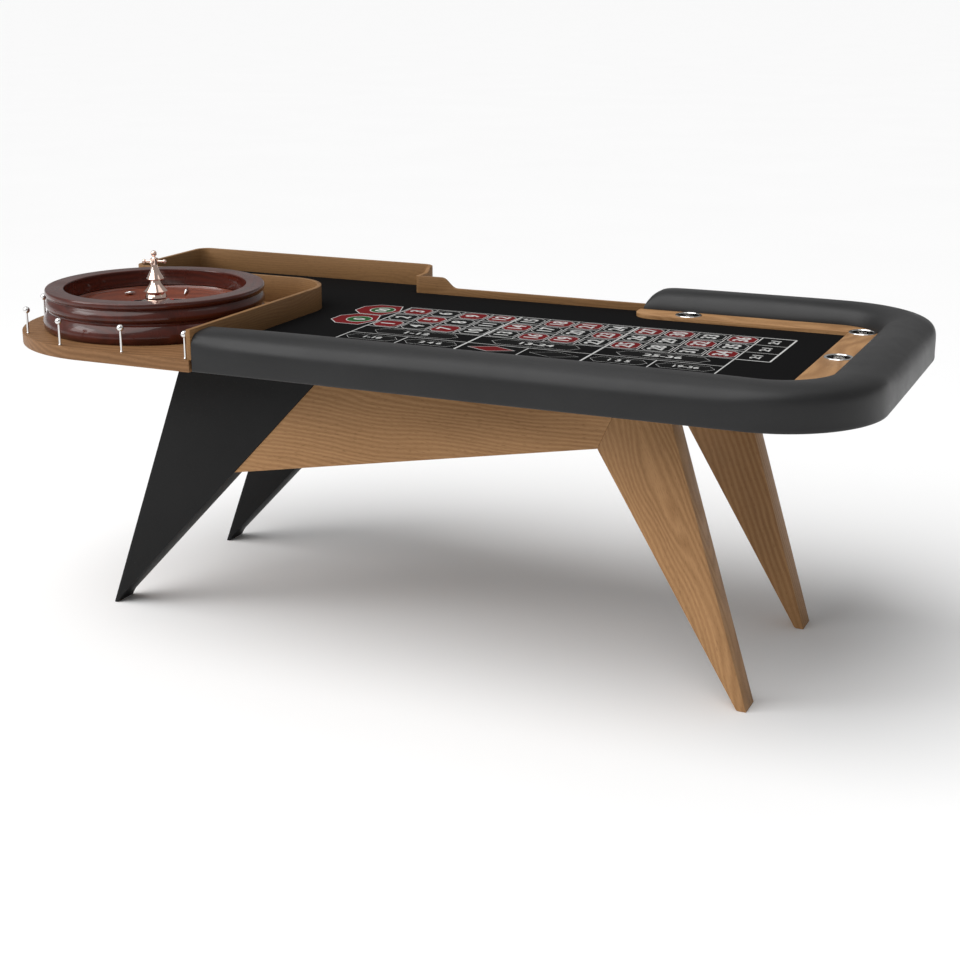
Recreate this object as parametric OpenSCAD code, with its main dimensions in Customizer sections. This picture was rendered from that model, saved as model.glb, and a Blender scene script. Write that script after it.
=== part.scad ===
// Family-size roulette table: padded playing table on two splayed side frames,
// with a turned wheel in an open bay at the left end.
// X runs along the table (wheel at -X), Y to the croupier's side, Z up.
// The origin is on the floor under the middle of the table top.

/* [Table top] */
// Overall length of the top
table_length = 2489; // [2400:1:2700]
// Overall width of the top
table_width = 1190; // [1150:1:1300]
// Height of the underside of the top above the floor
underside_height = 800; // [700:1:900]
// Thickness of the deck panel and the wheel platform
deck_thickness = 32; // [28:1:36]
// Plan radius of the two rounded right-hand corners
corner_radius = 285; // [260:1:320]
// Plan radius of the rounded front-left corner round the wheel
platform_radius = 375; // [360:1:380]

/* [Playing bed] */
// Thickness of the board under the cloth
bed_thickness = 10; // [8:1:12]
// Thickness of the layout cloth
cloth_thickness = 3; // [2:0.5:4]

/* [Armrest] */
// Width of the padded armrest from its outer face to the cloth
armrest_width = 152; // [140:1:165]
// Height of the armrest crest above the underside of the top
armrest_height = 108; // [100:1:116]
// Length over which the free end of the armrest rounds down
armrest_nose = 66; // [50:1:80]
// X position of the free end of the armrest behind the table
armrest_end_x = 381; // [360:1:400]

/* [Racetrack] */
// Width of the wooden racetrack strip
racetrack_width = 88; // [80:1:96]
// Thickness of the racetrack strip
racetrack_thickness = 14; // [12:1:16]
// Radius of the rounded free end of the racetrack
racetrack_round = 60; // [40:1:80]

/* [Cup holders] */
// Outer radius of the cup holder flange
cup_flange_radius = 38; // [36:0.5:40]
// Outer radius of the cup
cup_radius = 32; // [30:0.5:33]
// Wall thickness of the cup
cup_wall = 1.5; // [1:0.1:2]
// Depth of the cup below its flange
cup_depth = 50; // [40:1:52]
// Height each cup lifts to come clear of its hole
cup_lift = 55; // [53:1:70]

/* [Fence] */
// Thickness of the bent wooden fence
fence_thickness = 13; // [11:1:15]
// Height of the tall fence above the deck
fence_height = 81; // [75:1:90]
// Height of the short wall at the croupier's place
low_wall_height = 34; // [30:1:40]
// Plan radius of the fence corners
fence_bend = 42; // [36:1:50]
// Plan radius of the fence corner between the wheel and the cloth
bay_bend = 150; // [120:1:160]
// X position of the face of the fence between wheel and cloth
bay_x = -505; // [-515:1:-495]
// Y position of the rear face of the fence behind the wheel
bay_y = 212; // [205:1:225]
// Depth of the croupier's recess in the rear edge
recess_depth = 121; // [110:1:130]
// X position of the left side of the croupier's recess
recess_x = -362; // [-372:1:-352]

/* [Side frames] */
// Distance from the middle plane to the outer face of a side frame
frame_y = 348; // [330:1:370]
// Thickness of the painted legs
leg_thickness = 78; // [70:1:80]
// Depth by which the painted legs stand proud of the aprons
leg_proud = 3.5; // [2:0.5:5]
// X position of the toe of the painted legs
left_toe_x = -989; // [-1000:1:-970]
// X position of the heel of the wooden legs
right_toe_x = 947; // [930:1:960]
// Height of the apron's lower edge at the painted leg
apron_low = 455; // [440:1:480]
// Height of the apron's lower edge at the wooden leg
apron_high = 648; // [630:1:660]

/* [Wheel] */
// Outer radius of the wheel rim
rim_radius = 310; // [305:1:315]
// Inner radius of the wheel rim
rim_inner = 257; // [254:1:260]
// Height of the rim above the platform
rim_height = 113; // [110:1:118]
// Radius of the spinning rotor
rotor_radius = 186; // [180:1:190]
// Radius of the spindle the rotor runs on
spindle_radius = 8; // [7:0.5:9]
// Radial running clearance between spindle and bearings
running_fit = 0.05; // [0.02:0.01:0.09]
// Height of the turret above its seat
turret_height = 139; // [130:1:145]
// Number of pockets
pocket_count = 38; // [37:1:38]

/* [Guard pins] */
// Height of the ball centres above the platform
pin_height = 66; // [55:1:75]
// Radius of the ball heads
pin_ball = 9.5; // [8:0.5:11]
// Radius of the pin shafts
pin_shaft = 3.4; // [3:0.1:4]

/* [Hidden] */
half_l = table_length / 2;
half_w = table_width / 2;
z_deck = underside_height + deck_thickness;
z_bed = z_deck + bed_thickness;
z_cloth = z_bed + cloth_thickness;
z_track = z_bed + racetrack_thickness;
crest = underside_height + armrest_height;
gap = 0.3;
wrap = 25;                                  // padding outside the deck edge
inner_w = half_w - armrest_width;           // inner edge of the armrest
inner_x = half_l - armrest_width;
inner_r = corner_radius - armrest_width;
recess_y = half_w - recess_depth;           // outer face of the low wall
low_face = recess_y - fence_thickness;      // cloth side of the low wall
wheel_x = -half_l + platform_radius;
wheel_y = -half_w + platform_radius + 5;
cup_hole = cup_radius + 0.5;
track_mid_x = inner_x - racetrack_width / 2;
track_mid_y = inner_w - racetrack_width / 2;
cup_places = [[armrest_end_x + 152, track_mid_y], [track_mid_x - 7.5, track_mid_y - 42],
              [track_mid_x, 21]];
beam_x = [-520, 40, 630];
beam_w = 60;
beam_h = 80;
frame_in = frame_y - leg_thickness;         // inner face of both side frames
wood_out = frame_y - leg_proud;             // outer face of aprons and wooden legs
z_rotor = z_deck + 20;                      // underside of the rotor
z_seat = z_deck + 70;                       // turret seat on the rotor
teak = [0.66, 0.47, 0.29];
black = [0.12, 0.12, 0.12];
mahogany = [0.36, 0.10, 0.07];
metal = [0.82, 0.82, 0.84];
$fn = 96;

// A point on a cubic curve through four control points.
function bez(p, t) = pow(1 - t, 3) * p[0] + 3 * t * pow(1 - t, 2) * p[1]
  + 3 * t * t * (1 - t) * p[2] + pow(t, 3) * p[3];
// The points of such a curve, without its first one.
function curve(p, n) = [for (i = [1:n]) bez(p, i / n)];

// ---- side frames ----

// Outline of the painted leg: a broad wedge running straight down to a small toe.
function wedge_points() = concat(
  [[left_toe_x, 0], [left_toe_x + 10, 0]],
  curve([[left_toe_x + 10, 0], [left_toe_x + 15, 1], [left_toe_x + 17, 12],
         [left_inner(24), 24]], 6),
  [[left_inner(apron_low), apron_low], [left_inner(underside_height), underside_height],
   [left_toe_x + 0.374 * underside_height, underside_height]]);
// Inner edge of the painted leg at height z.
function left_inner(z) = left_toe_x + 148 + (z - 151) * 0.958;
// Mitre line between apron and wooden leg at height z.
function mitre_x(z) = right_toe_x - 416 + (z - apron_high) * 0.447;

module upright(points, y0, y1) {
  translate([0, y1, 0]) rotate([90, 0, 0]) linear_extrude(y1 - y0) polygon(points);
}

module wedge_leg() {
  color(black) upright(wedge_points(), -frame_y, -frame_in);
}

module tapered_leg() {
  heel = right_toe_x;
  color(teak) upright(concat(
    [[heel, 0], [heel - 304 / 1000 * underside_height, underside_height],
     [mitre_x(underside_height), underside_height], [mitre_x(apron_high), apron_high]],
    curve([[heel - 35, 16], [heel - 31, 9], [heel - 29, 0], [heel - 20, 0]], 5)),
    -wood_out, -frame_in);
}

module apron() {
  color(teak) upright([[left_inner(apron_low), apron_low], [mitre_x(apron_high), apron_high],
    [mitre_x(underside_height), underside_height],
    [left_inner(underside_height), underside_height]], -wood_out, -frame_in);
}

module left_leg_front() wedge_leg();
module left_leg_back() mirror([0, 1, 0]) wedge_leg();
module right_leg_front() tapered_leg();
module right_leg_back() mirror([0, 1, 0]) tapered_leg();
module apron_front() apron();
module apron_back() mirror([0, 1, 0]) apron();

// Bolt places along one cross beam.
function bolt_ys() = [-180, 0, 180];

module cross_beam(x) {
  color(teak) difference() {
    translate([x - beam_w / 2, -frame_in, underside_height - beam_h])
      cube([beam_w, 2 * frame_in, beam_h]);
    for (y = bolt_ys()) translate([x, y, underside_height - beam_h - 1]) {
      cylinder(r = 4.3, h = beam_h + 2);
      cylinder(r = 10, h = 9);
    }
  }
}
module cross_beam_left() cross_beam(beam_x[0]);
module cross_beam_centre() cross_beam(beam_x[1]);
module cross_beam_right() cross_beam(beam_x[2]);

// Steel angle between each beam end and the side frame.
module corner_brackets() {
  color(metal) for (x = beam_x, s = [-1, 1]) mirror([0, s > 0 ? 1 : 0, 0])
    translate([x - 20, -frame_in, underside_height - beam_h - 3]) {
      cube([40, 50, 3]);
      translate([0, 0, -50]) cube([40, 3, 51]);
    }
}

// Bolts holding the beams up to the deck.
module deck_bolts() {
  color(metal) for (x = beam_x, y = bolt_ys()) translate([x, y, 0]) {
    translate([0, 0, underside_height - beam_h + 2]) cylinder(r = 8, h = 6);
    translate([0, 0, underside_height - beam_h + 7]) cylinder(r = 4, h = beam_h + 11);
  }
}

// ---- top ----

// Rounded rectangle between two corners, each corner with its own radius:
// front-left, front-right, back-right, back-left.
module panel(x0, y0, x1, y1, r) {
  difference() {
    translate([x0, y0]) square([x1 - x0, y1 - y0]);
    corner_cut(x0, y0, r[0], 0);
    corner_cut(x1, y0, r[1], 90);
    corner_cut(x1, y1, r[2], 180);
    corner_cut(x0, y1, r[3], 270);
  }
}
module corner_cut(x, y, r, turn) {
  if (r > 0) translate([x, y]) rotate(turn) difference() {
    translate([-1, -1]) square(r + 1);
    translate([r, r]) circle(r, $fn = 96);
  }
}

fence_mid = fence_thickness / 2;

module cup_holes(z, h) {
  for (p = cup_places) translate([p[0], p[1], z]) cylinder(r = cup_hole, h = h);
}

module deck_panel() {
  color(black) difference() {
    translate([0, 0, underside_height]) linear_extrude(deck_thickness) difference() {
      union() {
        panel(bay_x - fence_mid, -half_w + wrap, half_l - wrap, half_w - wrap,
              [0, corner_radius - wrap, corner_radius - wrap, 0]);
        panel(-half_l, bay_y - fence_mid, recess_x, half_w, [0, 0, fence_bend, fence_bend]);
      }
      translate([recess_x, recess_y]) square([armrest_end_x + wrap - recess_x, recess_depth + 1]);
    }
    cup_holes(underside_height - 1, deck_thickness + 2);
    for (x = beam_x, y = bolt_ys()) translate([x, y, underside_height - 1])
      cylinder(r = 4.1, h = 21);
  }
}

module wheel_platform() {
  color(teak) difference() {
    translate([0, 0, underside_height]) linear_extrude(deck_thickness)
      panel(-half_l, -half_w, bay_x - fence_mid, bay_y - fence_mid, [platform_radius, 0, 0, 0]);
    for (p = pin_places) translate([p[0], p[1], z_deck - 16]) cylinder(r = 2.55, h = 20);
    for (y = bolt_ys()) translate([beam_x[0], y, underside_height - 1]) cylinder(r = 4.1, h = 21);
  }
}

// Plan of the area inside the fence, the low wall and the armrest, drawn in by d.
module bed_plan(d) {
  b = bay_bend;
  bi = fence_bend - fence_thickness;
  panel(bay_x + d, -inner_w + d, inner_x - d, inner_w - d, [0, inner_r - d, inner_r - d, 0]);
  panel(bay_x + d, -inner_w + d, armrest_end_x - d, low_face - d, [0, 0, 0, 0]);
  panel(-half_l + fence_thickness + d, bay_y + d, recess_x - fence_thickness - d,
        half_w - fence_thickness - d, [bi - d, 0, bi - d, bi - d]);
  // round the outside of the fence corner behind the wheel
  translate([bay_x - b, bay_y - b]) difference() {
    square(b + d);
    circle(b + d);
  }
}

module play_board() {
  color([0.7, 0.6, 0.45]) difference() {
    translate([0, 0, z_deck]) linear_extrude(bed_thickness) bed_plan(gap);
    cup_holes(z_deck - 1, bed_thickness + 2);
  }
}

// Plan of the racetrack strip with its rounded free end, grown by d and
// running on under the armrest to x and y.
module track_plan(d, x, y) {
  panel(armrest_end_x - 8 - d, inner_w - racetrack_width - d, x, y, [racetrack_round + d, 0, 0, 0]);
  panel(inner_x - racetrack_width - d, -y, x, y, [0, 0, 0, 0]);
}

module layout_cloth() {
  color([0.07, 0.07, 0.07]) translate([0, 0, z_bed]) linear_extrude(cloth_thickness)
    difference() {
      bed_plan(gap);
      track_plan(gap, half_l, low_face - 2 * gap);
      translate([armrest_end_x - 8 - gap, low_face - 3 * gap]) square([20, 10]);
    }
}

module racetrack() {
  color(teak) difference() {
    translate([0, 0, z_bed]) linear_extrude(racetrack_thickness) intersection() {
      track_plan(0, inner_x - gap, inner_w - gap);
      panel(0, -inner_w + gap, inner_x - gap, inner_w - gap,
            [0, inner_r - gap, inner_r - gap, 0]);
    }
    cup_holes(z_bed - 1, racetrack_thickness + 2);
  }
}

// A straight run of fence between two plan corners.
module fence_run(x0, y0, x1, y1, h) {
  translate([x0, y0, z_deck]) cube([x1 - x0, y1 - y0, h]);
}
// A quarter bend of fence about a centre, starting at angle a.
module fence_turn(x, y, a, h, r = fence_bend) {
  translate([x, y, z_deck]) rotate(a) rotate_extrude(angle = 90, $fn = 96)
    translate([r - fence_thickness, 0]) square([fence_thickness, h]);
}

module wheel_fence() {
  t = fence_thickness;
  h = fence_height;
  color(teak) {
    fence_run(bay_x - t, -half_w + 3, bay_x, bay_y - bay_bend, h);
    fence_turn(bay_x - bay_bend, bay_y - bay_bend, 0, h, bay_bend);
    fence_run(-half_l + fence_bend, bay_y - t, bay_x - bay_bend, bay_y, h);
  }
}

module back_wall() {
  t = fence_thickness;
  h = fence_height;
  b = fence_bend;
  color(teak) {
    // left end: bends round from the wheel fence and runs to the rear corner
    fence_turn(-half_l + b, bay_y - t + b, 180, h);
    fence_run(-half_l, bay_y - t + b, -half_l + t, half_w - b, h);
    fence_turn(-half_l + b, half_w - b, 90, h);
    fence_run(-half_l + b, half_w - t, recess_x - b, half_w, h);
    fence_turn(recess_x - b, half_w - b, 0, h);
    // return along the side of the recess, its top falling to the low wall
    translate([recess_x, 0, z_deck]) rotate([90, 0, -90]) linear_extrude(t)
      polygon(concat([[-half_w + b, 0], [-half_w + b, h]],
        curve([[-half_w + b, h], [-half_w + b + 14, h], [-half_w + b + 16, h - 16],
               [-half_w + b + 34, h - 16]], 8),
        [[-low_face - 15, h - 16], [-low_face - 15, 0]]));
  }
}

module low_wall() {
  t = fence_thickness;
  h = fence_height - 16;
  x0 = recess_x - t + 15;
  color(teak) {
    fence_turn(x0, low_face + 15, 180, h, 15);
    translate([0, recess_y, z_deck]) rotate([90, 0, 0]) linear_extrude(t)
      polygon(concat([[x0, 0], [x0, h], [recess_x + 76, h]],
        curve([[recess_x + 76, h], [recess_x + 98, h], [recess_x + 106, low_wall_height],
               [recess_x + 130, low_wall_height]], 10),
        [[armrest_end_x - gap, low_wall_height], [armrest_end_x - gap, 0]]));
  }
}

// ---- armrest ----

// Sweep a profile (u inward from the outer face, z up) along the armrest.
module armrest_sweep(x_back) {
  r = corner_radius;
  // front run
  translate([bay_x + gap, -half_w, 0]) rotate([90, 0, 90])
    linear_extrude(half_l - r - bay_x - gap) children();
  // front right corner
  translate([half_l - r, -half_w + r, 0]) rotate(-90) rotate_extrude(angle = 90, $fn = 128)
    translate([r, 0]) mirror([1, 0]) children();
  // end run
  translate([half_l, -half_w + r, 0]) rotate([90, 0, 180])
    linear_extrude(2 * (half_w - r)) children();
  // back right corner
  translate([half_l - r, half_w - r, 0]) rotate_extrude(angle = 90, $fn = 128)
    translate([r, 0]) mirror([1, 0]) children();
  // back run to the free end
  translate([half_l - r, half_w, 0]) rotate([90, 0, -90])
    linear_extrude(half_l - r - x_back) children();
}

module armrest_core() {
  color([0.7, 0.6, 0.45]) armrest_sweep(armrest_end_x + wrap)
    translate([wrap, z_deck]) square([armrest_width - wrap - 12, 28]);
}

module pad_profile() {
  w = armrest_width;
  polygon(concat([[0, underside_height]],
    curve([[0, crest - 46], [0, crest - 3], [30, crest], [90, crest]], 9),
    curve([[90, crest], [126, crest], [w - 2, crest - 22], [w, z_track]], 9),
    [[w, z_deck + gap], [w - 12 + gap, z_deck + gap], [w - 12 + gap, z_deck + 28 + gap],
     [wrap - gap, z_deck + 28 + gap], [wrap - gap, underside_height]]));
}

module armrest_pad() {
  n = armrest_nose;
  x = armrest_end_x;
  color(black) intersection() {
    union() {
      armrest_sweep(x) pad_profile();
      // end cap in front of the core
      translate([x, half_w - armrest_width + 12 - gap, z_deck + gap])
        cube([wrap - gap, armrest_width - wrap - 12 + 2 * gap, 29 - gap]);
      translate([x, recess_y + gap, underside_height])
        cube([wrap - gap, half_w - wrap + gap - recess_y, deck_thickness + 2]);
    }
    union() {
      translate([bay_x, -half_w - 1, 0]) cube([half_l * 2, half_w + 1, crest + 2]);
      translate([0, half_w + 1, 0]) rotate([90, 0, 0]) linear_extrude(half_w + 1)
        polygon(concat([[half_l + 1, underside_height - 1], [half_l + 1, crest + 1],
          [x + n, crest + 1]],
          curve([[x + n, crest + 1], [x + n * 0.4, crest + 1], [x, crest - 14],
                 [x, crest - 46]], 8),
          [[x, underside_height - 1]]));
    }
  }
}

// ---- cup holders ----

module cup_holder(i) {
  p = cup_places[i];
  color(metal) translate([p[0], p[1], z_track]) rotate_extrude()
    polygon([[0, -cup_depth], [cup_radius - 3, -cup_depth], [cup_radius, -cup_depth + 3],
      [cup_radius, 0], [cup_flange_radius, 0], [cup_flange_radius, 1.2],
      [cup_flange_radius - 1.5, 2.6], [cup_radius + 0.5, 2.6],
      [cup_radius - cup_wall, 0.6], [cup_radius - cup_wall, -cup_depth + 4],
      [cup_radius - cup_wall - 3, -cup_depth + cup_wall], [0, -cup_depth + cup_wall]]);
}
module cup_holder_back() cup_holder(0);
module cup_holder_corner() cup_holder(1);
module cup_holder_end() cup_holder(2);

// ---- guard pins ----

// Pins follow the edge of the platform at an even pitch: along the front,
// round the rounded corner and along the left end.
pin_pitch = 206;
pin_inset = 13;
pin_arc = platform_radius - pin_inset;
pin_front = wheel_x - bay_x;                 // length of the straight front edge
function pin_at(s) =
  s < 0 ? [wheel_x - s, -half_w + pin_inset]
  : s < pin_arc * PI / 2
    ? [wheel_x - pin_arc * sin(s / pin_arc * 180 / PI),
       -half_w + platform_radius - pin_arc * cos(s / pin_arc * 180 / PI)]
    : [-half_l + pin_inset, -half_w + platform_radius + s - pin_arc * PI / 2];
pin_places = [for (i = [0:6]) i == 4 ? [wheel_x - 332, -302]
  : pin_at(i == 0 ? -340.5 : -345 + i * pin_pitch)];

module guard_pin(i) {
  p = pin_places[i];
  color(metal) translate([p[0], p[1], z_deck]) {
    translate([0, 0, -15]) cylinder(r = 2.5, h = 16, $fn = 32);
    rotate_extrude($fn = 32) polygon([[0, 0], [pin_shaft + 1, 0], [pin_shaft + 1, 2],
      [pin_shaft, 4], [pin_shaft - 0.5, pin_height], [0, pin_height]]);
    translate([0, 0, pin_height]) sphere(pin_ball, $fn = 48);
  }
}
module guard_pin_1() guard_pin(0);
module guard_pin_2() guard_pin(1);
module guard_pin_3() guard_pin(2);
module guard_pin_4() guard_pin(3);
module guard_pin_5() guard_pin(4);
module guard_pin_6() guard_pin(5);
module guard_pin_7() guard_pin(6);

// ---- wheel ----

screw_turns = [0, 120, 240];
module at_wheel() translate([wheel_x, wheel_y, z_deck]) children();

module wheel_bowl() {
  r = rim_radius;
  h = rim_height;
  color(mahogany) at_wheel() rotate_extrude($fn = 128) polygon(concat(
    [[r - 62, 0], [r + 2, 0]],
    curve([[r + 2, 0], [r + 12, 12], [r + 12, 30], [r - 4, 50]], 8),
    [[r - 11, 54], [r - 11, 57]],
    curve([[r - 11, 57], [r + 2, 62], [r + 3, 76], [r - 6, 88]], 7),
    [[r - 8, 93], [r - 2, 98]],
    curve([[r - 2, 98], [r + 1, 101], [r + 1, h - 2], [r - 3, h]], 4),
    [[rim_inner + 3, h], [rim_inner, h - 2], [rim_inner - 2, 67], [rim_inner + 8, 65],
     [rim_inner + 8, 52], [r - 62, 52]]));
}

module bowl_floor() {
  color(mahogany) at_wheel() difference() {
    cylinder(r = rim_radius - 62 - gap, h = 10);
    for (a = screw_turns) rotate(a) translate([24, 0, 2]) cylinder(r = 2.55, h = 10, $fn = 24);
  }
}

// Fixed ring inside the bowl: ball track at the top, then the slope down to the rotor.
module ball_track() {
  ri = rotor_radius + 1.5;
  color([0.55, 0.22, 0.12]) at_wheel() rotate_extrude($fn = 128) polygon(concat(
    [[ri, 28], [rim_inner - 10, 52.2], [rim_inner + 8 - gap, 52.2], [rim_inner + 8 - gap, 64.7],
     [rim_inner - 2.5, 64.7]],
    curve([[rim_inner - 2.5, 64.7], [rim_inner - 5, 57], [rim_inner - 12, 57],
           [rim_inner - 16, 60]], 5),
    [[rim_inner - 19, 60], [ri + 4, 38], [ri, 36]]));
}

// Eight diamonds on the slope, alternately along it and across it.
module ball_deflectors() {
  slope = atan2(22, rim_inner - 19 - rotor_radius - 5.5);
  color(metal) at_wheel() for (i = [0:7]) rotate(i * 45 + 11)
    translate([rotor_radius + 29.5, 0, 55.2]) rotate([0, -slope, 0])
      rotate([0, 0, i % 2 == 0 ? 0 : 90]) rotate([0, 90, 0]) {
        cylinder(r1 = 5, r2 = 0.8, h = 16, $fn = 32);
        mirror([0, 0, 1]) cylinder(r1 = 5, r2 = 0.8, h = 16, $fn = 32);
      }
}

module spindle() {
  color(metal) at_wheel() {
    difference() {
      translate([0, 0, 10]) cylinder(r = 32, h = 5);
      for (a = screw_turns) rotate(a) translate([24, 0, 9]) cylinder(r = 2.8, h = 10, $fn = 24);
    }
    translate([0, 0, 14]) cylinder(r = 12, h = 9.7);
    translate([0, 0, 14]) cylinder(r = spindle_radius, h = 53);
  }
}

// Screws through the spindle flange into the bowl floor.
module spindle_screws() {
  color(metal) at_wheel() for (a = screw_turns) rotate(a) translate([24, 0, 0]) {
    translate([0, 0, 15]) cylinder(r = 4.5, h = 2.6, $fn = 32);
    translate([0, 0, 2.2]) cylinder(r = 2.5, h = 13, $fn = 24);
  }
}

module bearing(z) {
  color(metal) at_wheel() translate([0, 0, z]) difference() {
    cylinder(r = 16, h = 10);
    translate([0, 0, -1]) cylinder(r = spindle_radius + running_fit, h = 12);
  }
}
module lower_bearing() bearing(24);
module upper_bearing() bearing(54);

// Turned rotor: a shallow cone up to the turret seat, stepped at the edge
// for the number ring and the pockets.
module rotor() {
  color(mahogany) at_wheel() difference() {
    rotate_extrude($fn = 128) polygon(concat(
      [[0, 20], [rotor_radius - 20, 20], [rotor_radius - 1, 28], [rotor_radius - 1, 30],
       [rotor_radius - 36, 26], [rotor_radius - 38, 24], [rotor_radius - 60, 24],
       [rotor_radius - 62, 36]],
      curve([[rotor_radius - 62, 36], [90, 47], [60, 58], [36, 68]], 8),
      [[36, 70], [0, 70]]));
    translate([0, 0, 19]) cylinder(r = 13, h = 60);
    translate([0, 0, 19]) cylinder(r = 16.01, h = 15.01);
    translate([0, 0, 53.99]) cylinder(r = 16.01, h = 20);
  }
}

module number_ring() {
  color([0.15, 0.04, 0.04]) at_wheel() rotate_extrude($fn = 128)
    polygon([[rotor_radius - 36, 26.2], [rotor_radius - 1, 30.2], [rotor_radius, 34],
      [rotor_radius - 3, 36.5], [rotor_radius - 36, 31]]);
}

// Metal ring of separators between the pockets.
module pocket_frets() {
  r0 = rotor_radius - 59.8;
  r1 = rotor_radius - 38.2;
  a = 180 / pocket_count;
  xi = r0 + 1.2;
  xo = r1 - 1.5;
  wi = xi * tan(a) - 0.6;
  wo = xo * tan(a) - 0.6;
  color(metal) at_wheel() translate([0, 0, 24.2]) difference() {
    cylinder(r = r1, h = 9);
    translate([0, 0, -1]) cylinder(r = r0, h = 11);
    for (i = [0:pocket_count - 1]) rotate(i * 360 / pocket_count)
      translate([0, 0, 1]) linear_extrude(height = 9)
        polygon([[xi, -wi], [xo, -wo], [xo, wo], [xi, wi]]);
  }
}

// Turned turret: domed foot, two stacked cones and a neck under the handle.
module turret_body() {
  s = turret_height / 139;
  color(metal) at_wheel() translate([0, 0, 70]) rotate_extrude($fn = 64) polygon(concat(
    [[0, 0.2], [31, 0.2], [32, 2]],
    curve([[32, 2], [32, 10], [26, 18], [24, 20]], 5),
    [[33, 22.5], [33, 24.5]],
    curve([[33, 24.5], [25, 32], [15, 44], [13, 54]], 6),
    [[24, 58], [24.5, 60]],
    curve([[24.5, 60], [19, 70], [10, 84], [8, 100 * s]], 6),
    [[0, 100 * s]]));
}

module turret_handle() {
  s = turret_height / 139;
  color(metal) at_wheel() translate([0, 0, 70 + 100 * s]) {
    translate([0, 0, 0.2]) cylinder(r = 11, h = 17, $fn = 48);
    for (a = [20:90:290]) rotate(a) translate([0, 0, 9]) rotate([0, 90, 0]) {
      cylinder(r = 3.6, h = 28, $fn = 32);
      translate([0, 0, 29]) sphere(6, $fn = 32);
    }
  }
}

module turret_finial() {
  s = turret_height / 139;
  color(metal) at_wheel() translate([0, 0, 70 + 117.4 * s]) {
    rotate_extrude($fn = 48) polygon(concat([[0, 0], [8, 0]],
      curve([[8, 0], [6, 3], [4, 4], [4, 7]], 4), [[0, 7]]));
    translate([0, 0, 14]) sphere(8.5, $fn = 48);
  }
}

left_leg_front();
left_leg_back();
right_leg_front();
right_leg_back();
apron_front();
apron_back();
cross_beam_left();
cross_beam_centre();
cross_beam_right();
corner_brackets();
deck_bolts();
deck_panel();
wheel_platform();
play_board();
layout_cloth();
wheel_fence();
back_wall();
low_wall();
racetrack();
armrest_core();
armrest_pad();
cup_holder_back();
cup_holder_corner();
cup_holder_end();
guard_pin_1();
guard_pin_2();
guard_pin_3();
guard_pin_4();
guard_pin_5();
guard_pin_6();
guard_pin_7();
wheel_bowl();
bowl_floor();
ball_track();
ball_deflectors();
spindle();
spindle_screws();
lower_bearing();
upper_bearing();
rotor();
number_ring();
pocket_frets();
turret_body();
turret_handle();
turret_finial();
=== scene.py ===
"""Roulette table: the looks of every piece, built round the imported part.

Each sub-assembly of the table is a class. Its sizes are dataclass fields in
metres, and its methods build the meshes, dress them in a finish and hand them
to the body that carries them. X runs along the table, the wheel is at -X, the
croupier stands at +Y, and Z is up from the floor.
"""

import logging
import math
from collections.abc import Callable, Iterator, Sequence
from contextlib import contextmanager
from dataclasses import dataclass, field
from enum import Enum

import bpy
import numpy as np
from mathutils import Matrix, Vector


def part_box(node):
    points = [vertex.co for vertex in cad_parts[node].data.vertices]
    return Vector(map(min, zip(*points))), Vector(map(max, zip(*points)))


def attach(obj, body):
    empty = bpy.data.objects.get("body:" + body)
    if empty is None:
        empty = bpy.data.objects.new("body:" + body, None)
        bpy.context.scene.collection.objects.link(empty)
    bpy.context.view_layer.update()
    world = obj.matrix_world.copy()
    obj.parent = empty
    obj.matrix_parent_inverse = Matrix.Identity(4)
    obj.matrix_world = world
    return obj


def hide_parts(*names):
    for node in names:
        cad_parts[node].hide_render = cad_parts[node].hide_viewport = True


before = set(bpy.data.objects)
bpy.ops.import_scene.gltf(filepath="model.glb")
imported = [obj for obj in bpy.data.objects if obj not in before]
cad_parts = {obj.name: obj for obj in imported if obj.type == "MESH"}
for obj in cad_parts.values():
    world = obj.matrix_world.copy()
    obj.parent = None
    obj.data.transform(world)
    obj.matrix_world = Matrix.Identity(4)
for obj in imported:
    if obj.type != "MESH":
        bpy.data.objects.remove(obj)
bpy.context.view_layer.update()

LOG = logging.getLogger("roulette_table")

Point2 = tuple[float, float]
Point3 = tuple[float, float, float]
Colour = tuple[float, float, float]
Socket = bpy.types.NodeSocket
Thing = bpy.types.Object

FULL_TURN = 2 * math.pi
MERGE_GAP = 1e-6
SMOOTH_ANGLE = math.radians(32)


class Body(Enum):
    """The moving bodies of the part."""

    TABLE = "table"
    ROTOR = "wheel_rotor"
    BACK_CUP = "back_cup"
    CORNER_CUP = "corner_cup"
    END_CUP = "end_cup"


class Slot(Enum):
    """The record's material slots."""

    PAINT = "black_paint"
    TEAK = "teak"
    BOARD = "board"
    ZINC = "zinc_steel"
    CLOTH = "cloth"
    VINYL = "vinyl"
    CHROME = "chrome"
    MAHOGANY = "mahogany"
    TRACK = "track_wood"
    BEARING = "bearing_steel"
    BAND = "number_band"


class Pocket(Enum):
    """The three colours a number may have."""

    RED = "red"
    BLACK = "black"
    GREEN = "green"


RED_NUMBERS = frozenset(
    (1, 3, 5, 7, 9, 12, 14, 16, 18, 19, 21, 23, 25, 27, 30, 32, 34, 36)
)
WHEEL_ORDER = (
    "0 28 9 26 30 11 7 20 32 17 5 22 34 15 3 24 36 13 1 "
    "00 27 10 25 29 12 8 19 31 18 6 21 33 16 4 23 35 14 2"
).split()


def pocket_of(label: str) -> Pocket:
    """The colour that a number has on the wheel and on the cloth.

    Args:
        label: The number as it is printed.

    Returns:
        Its colour.
    """
    if set(label) == {"0"}:
        return Pocket.GREEN
    return Pocket.RED if int(label) in RED_NUMBERS else Pocket.BLACK


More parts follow.
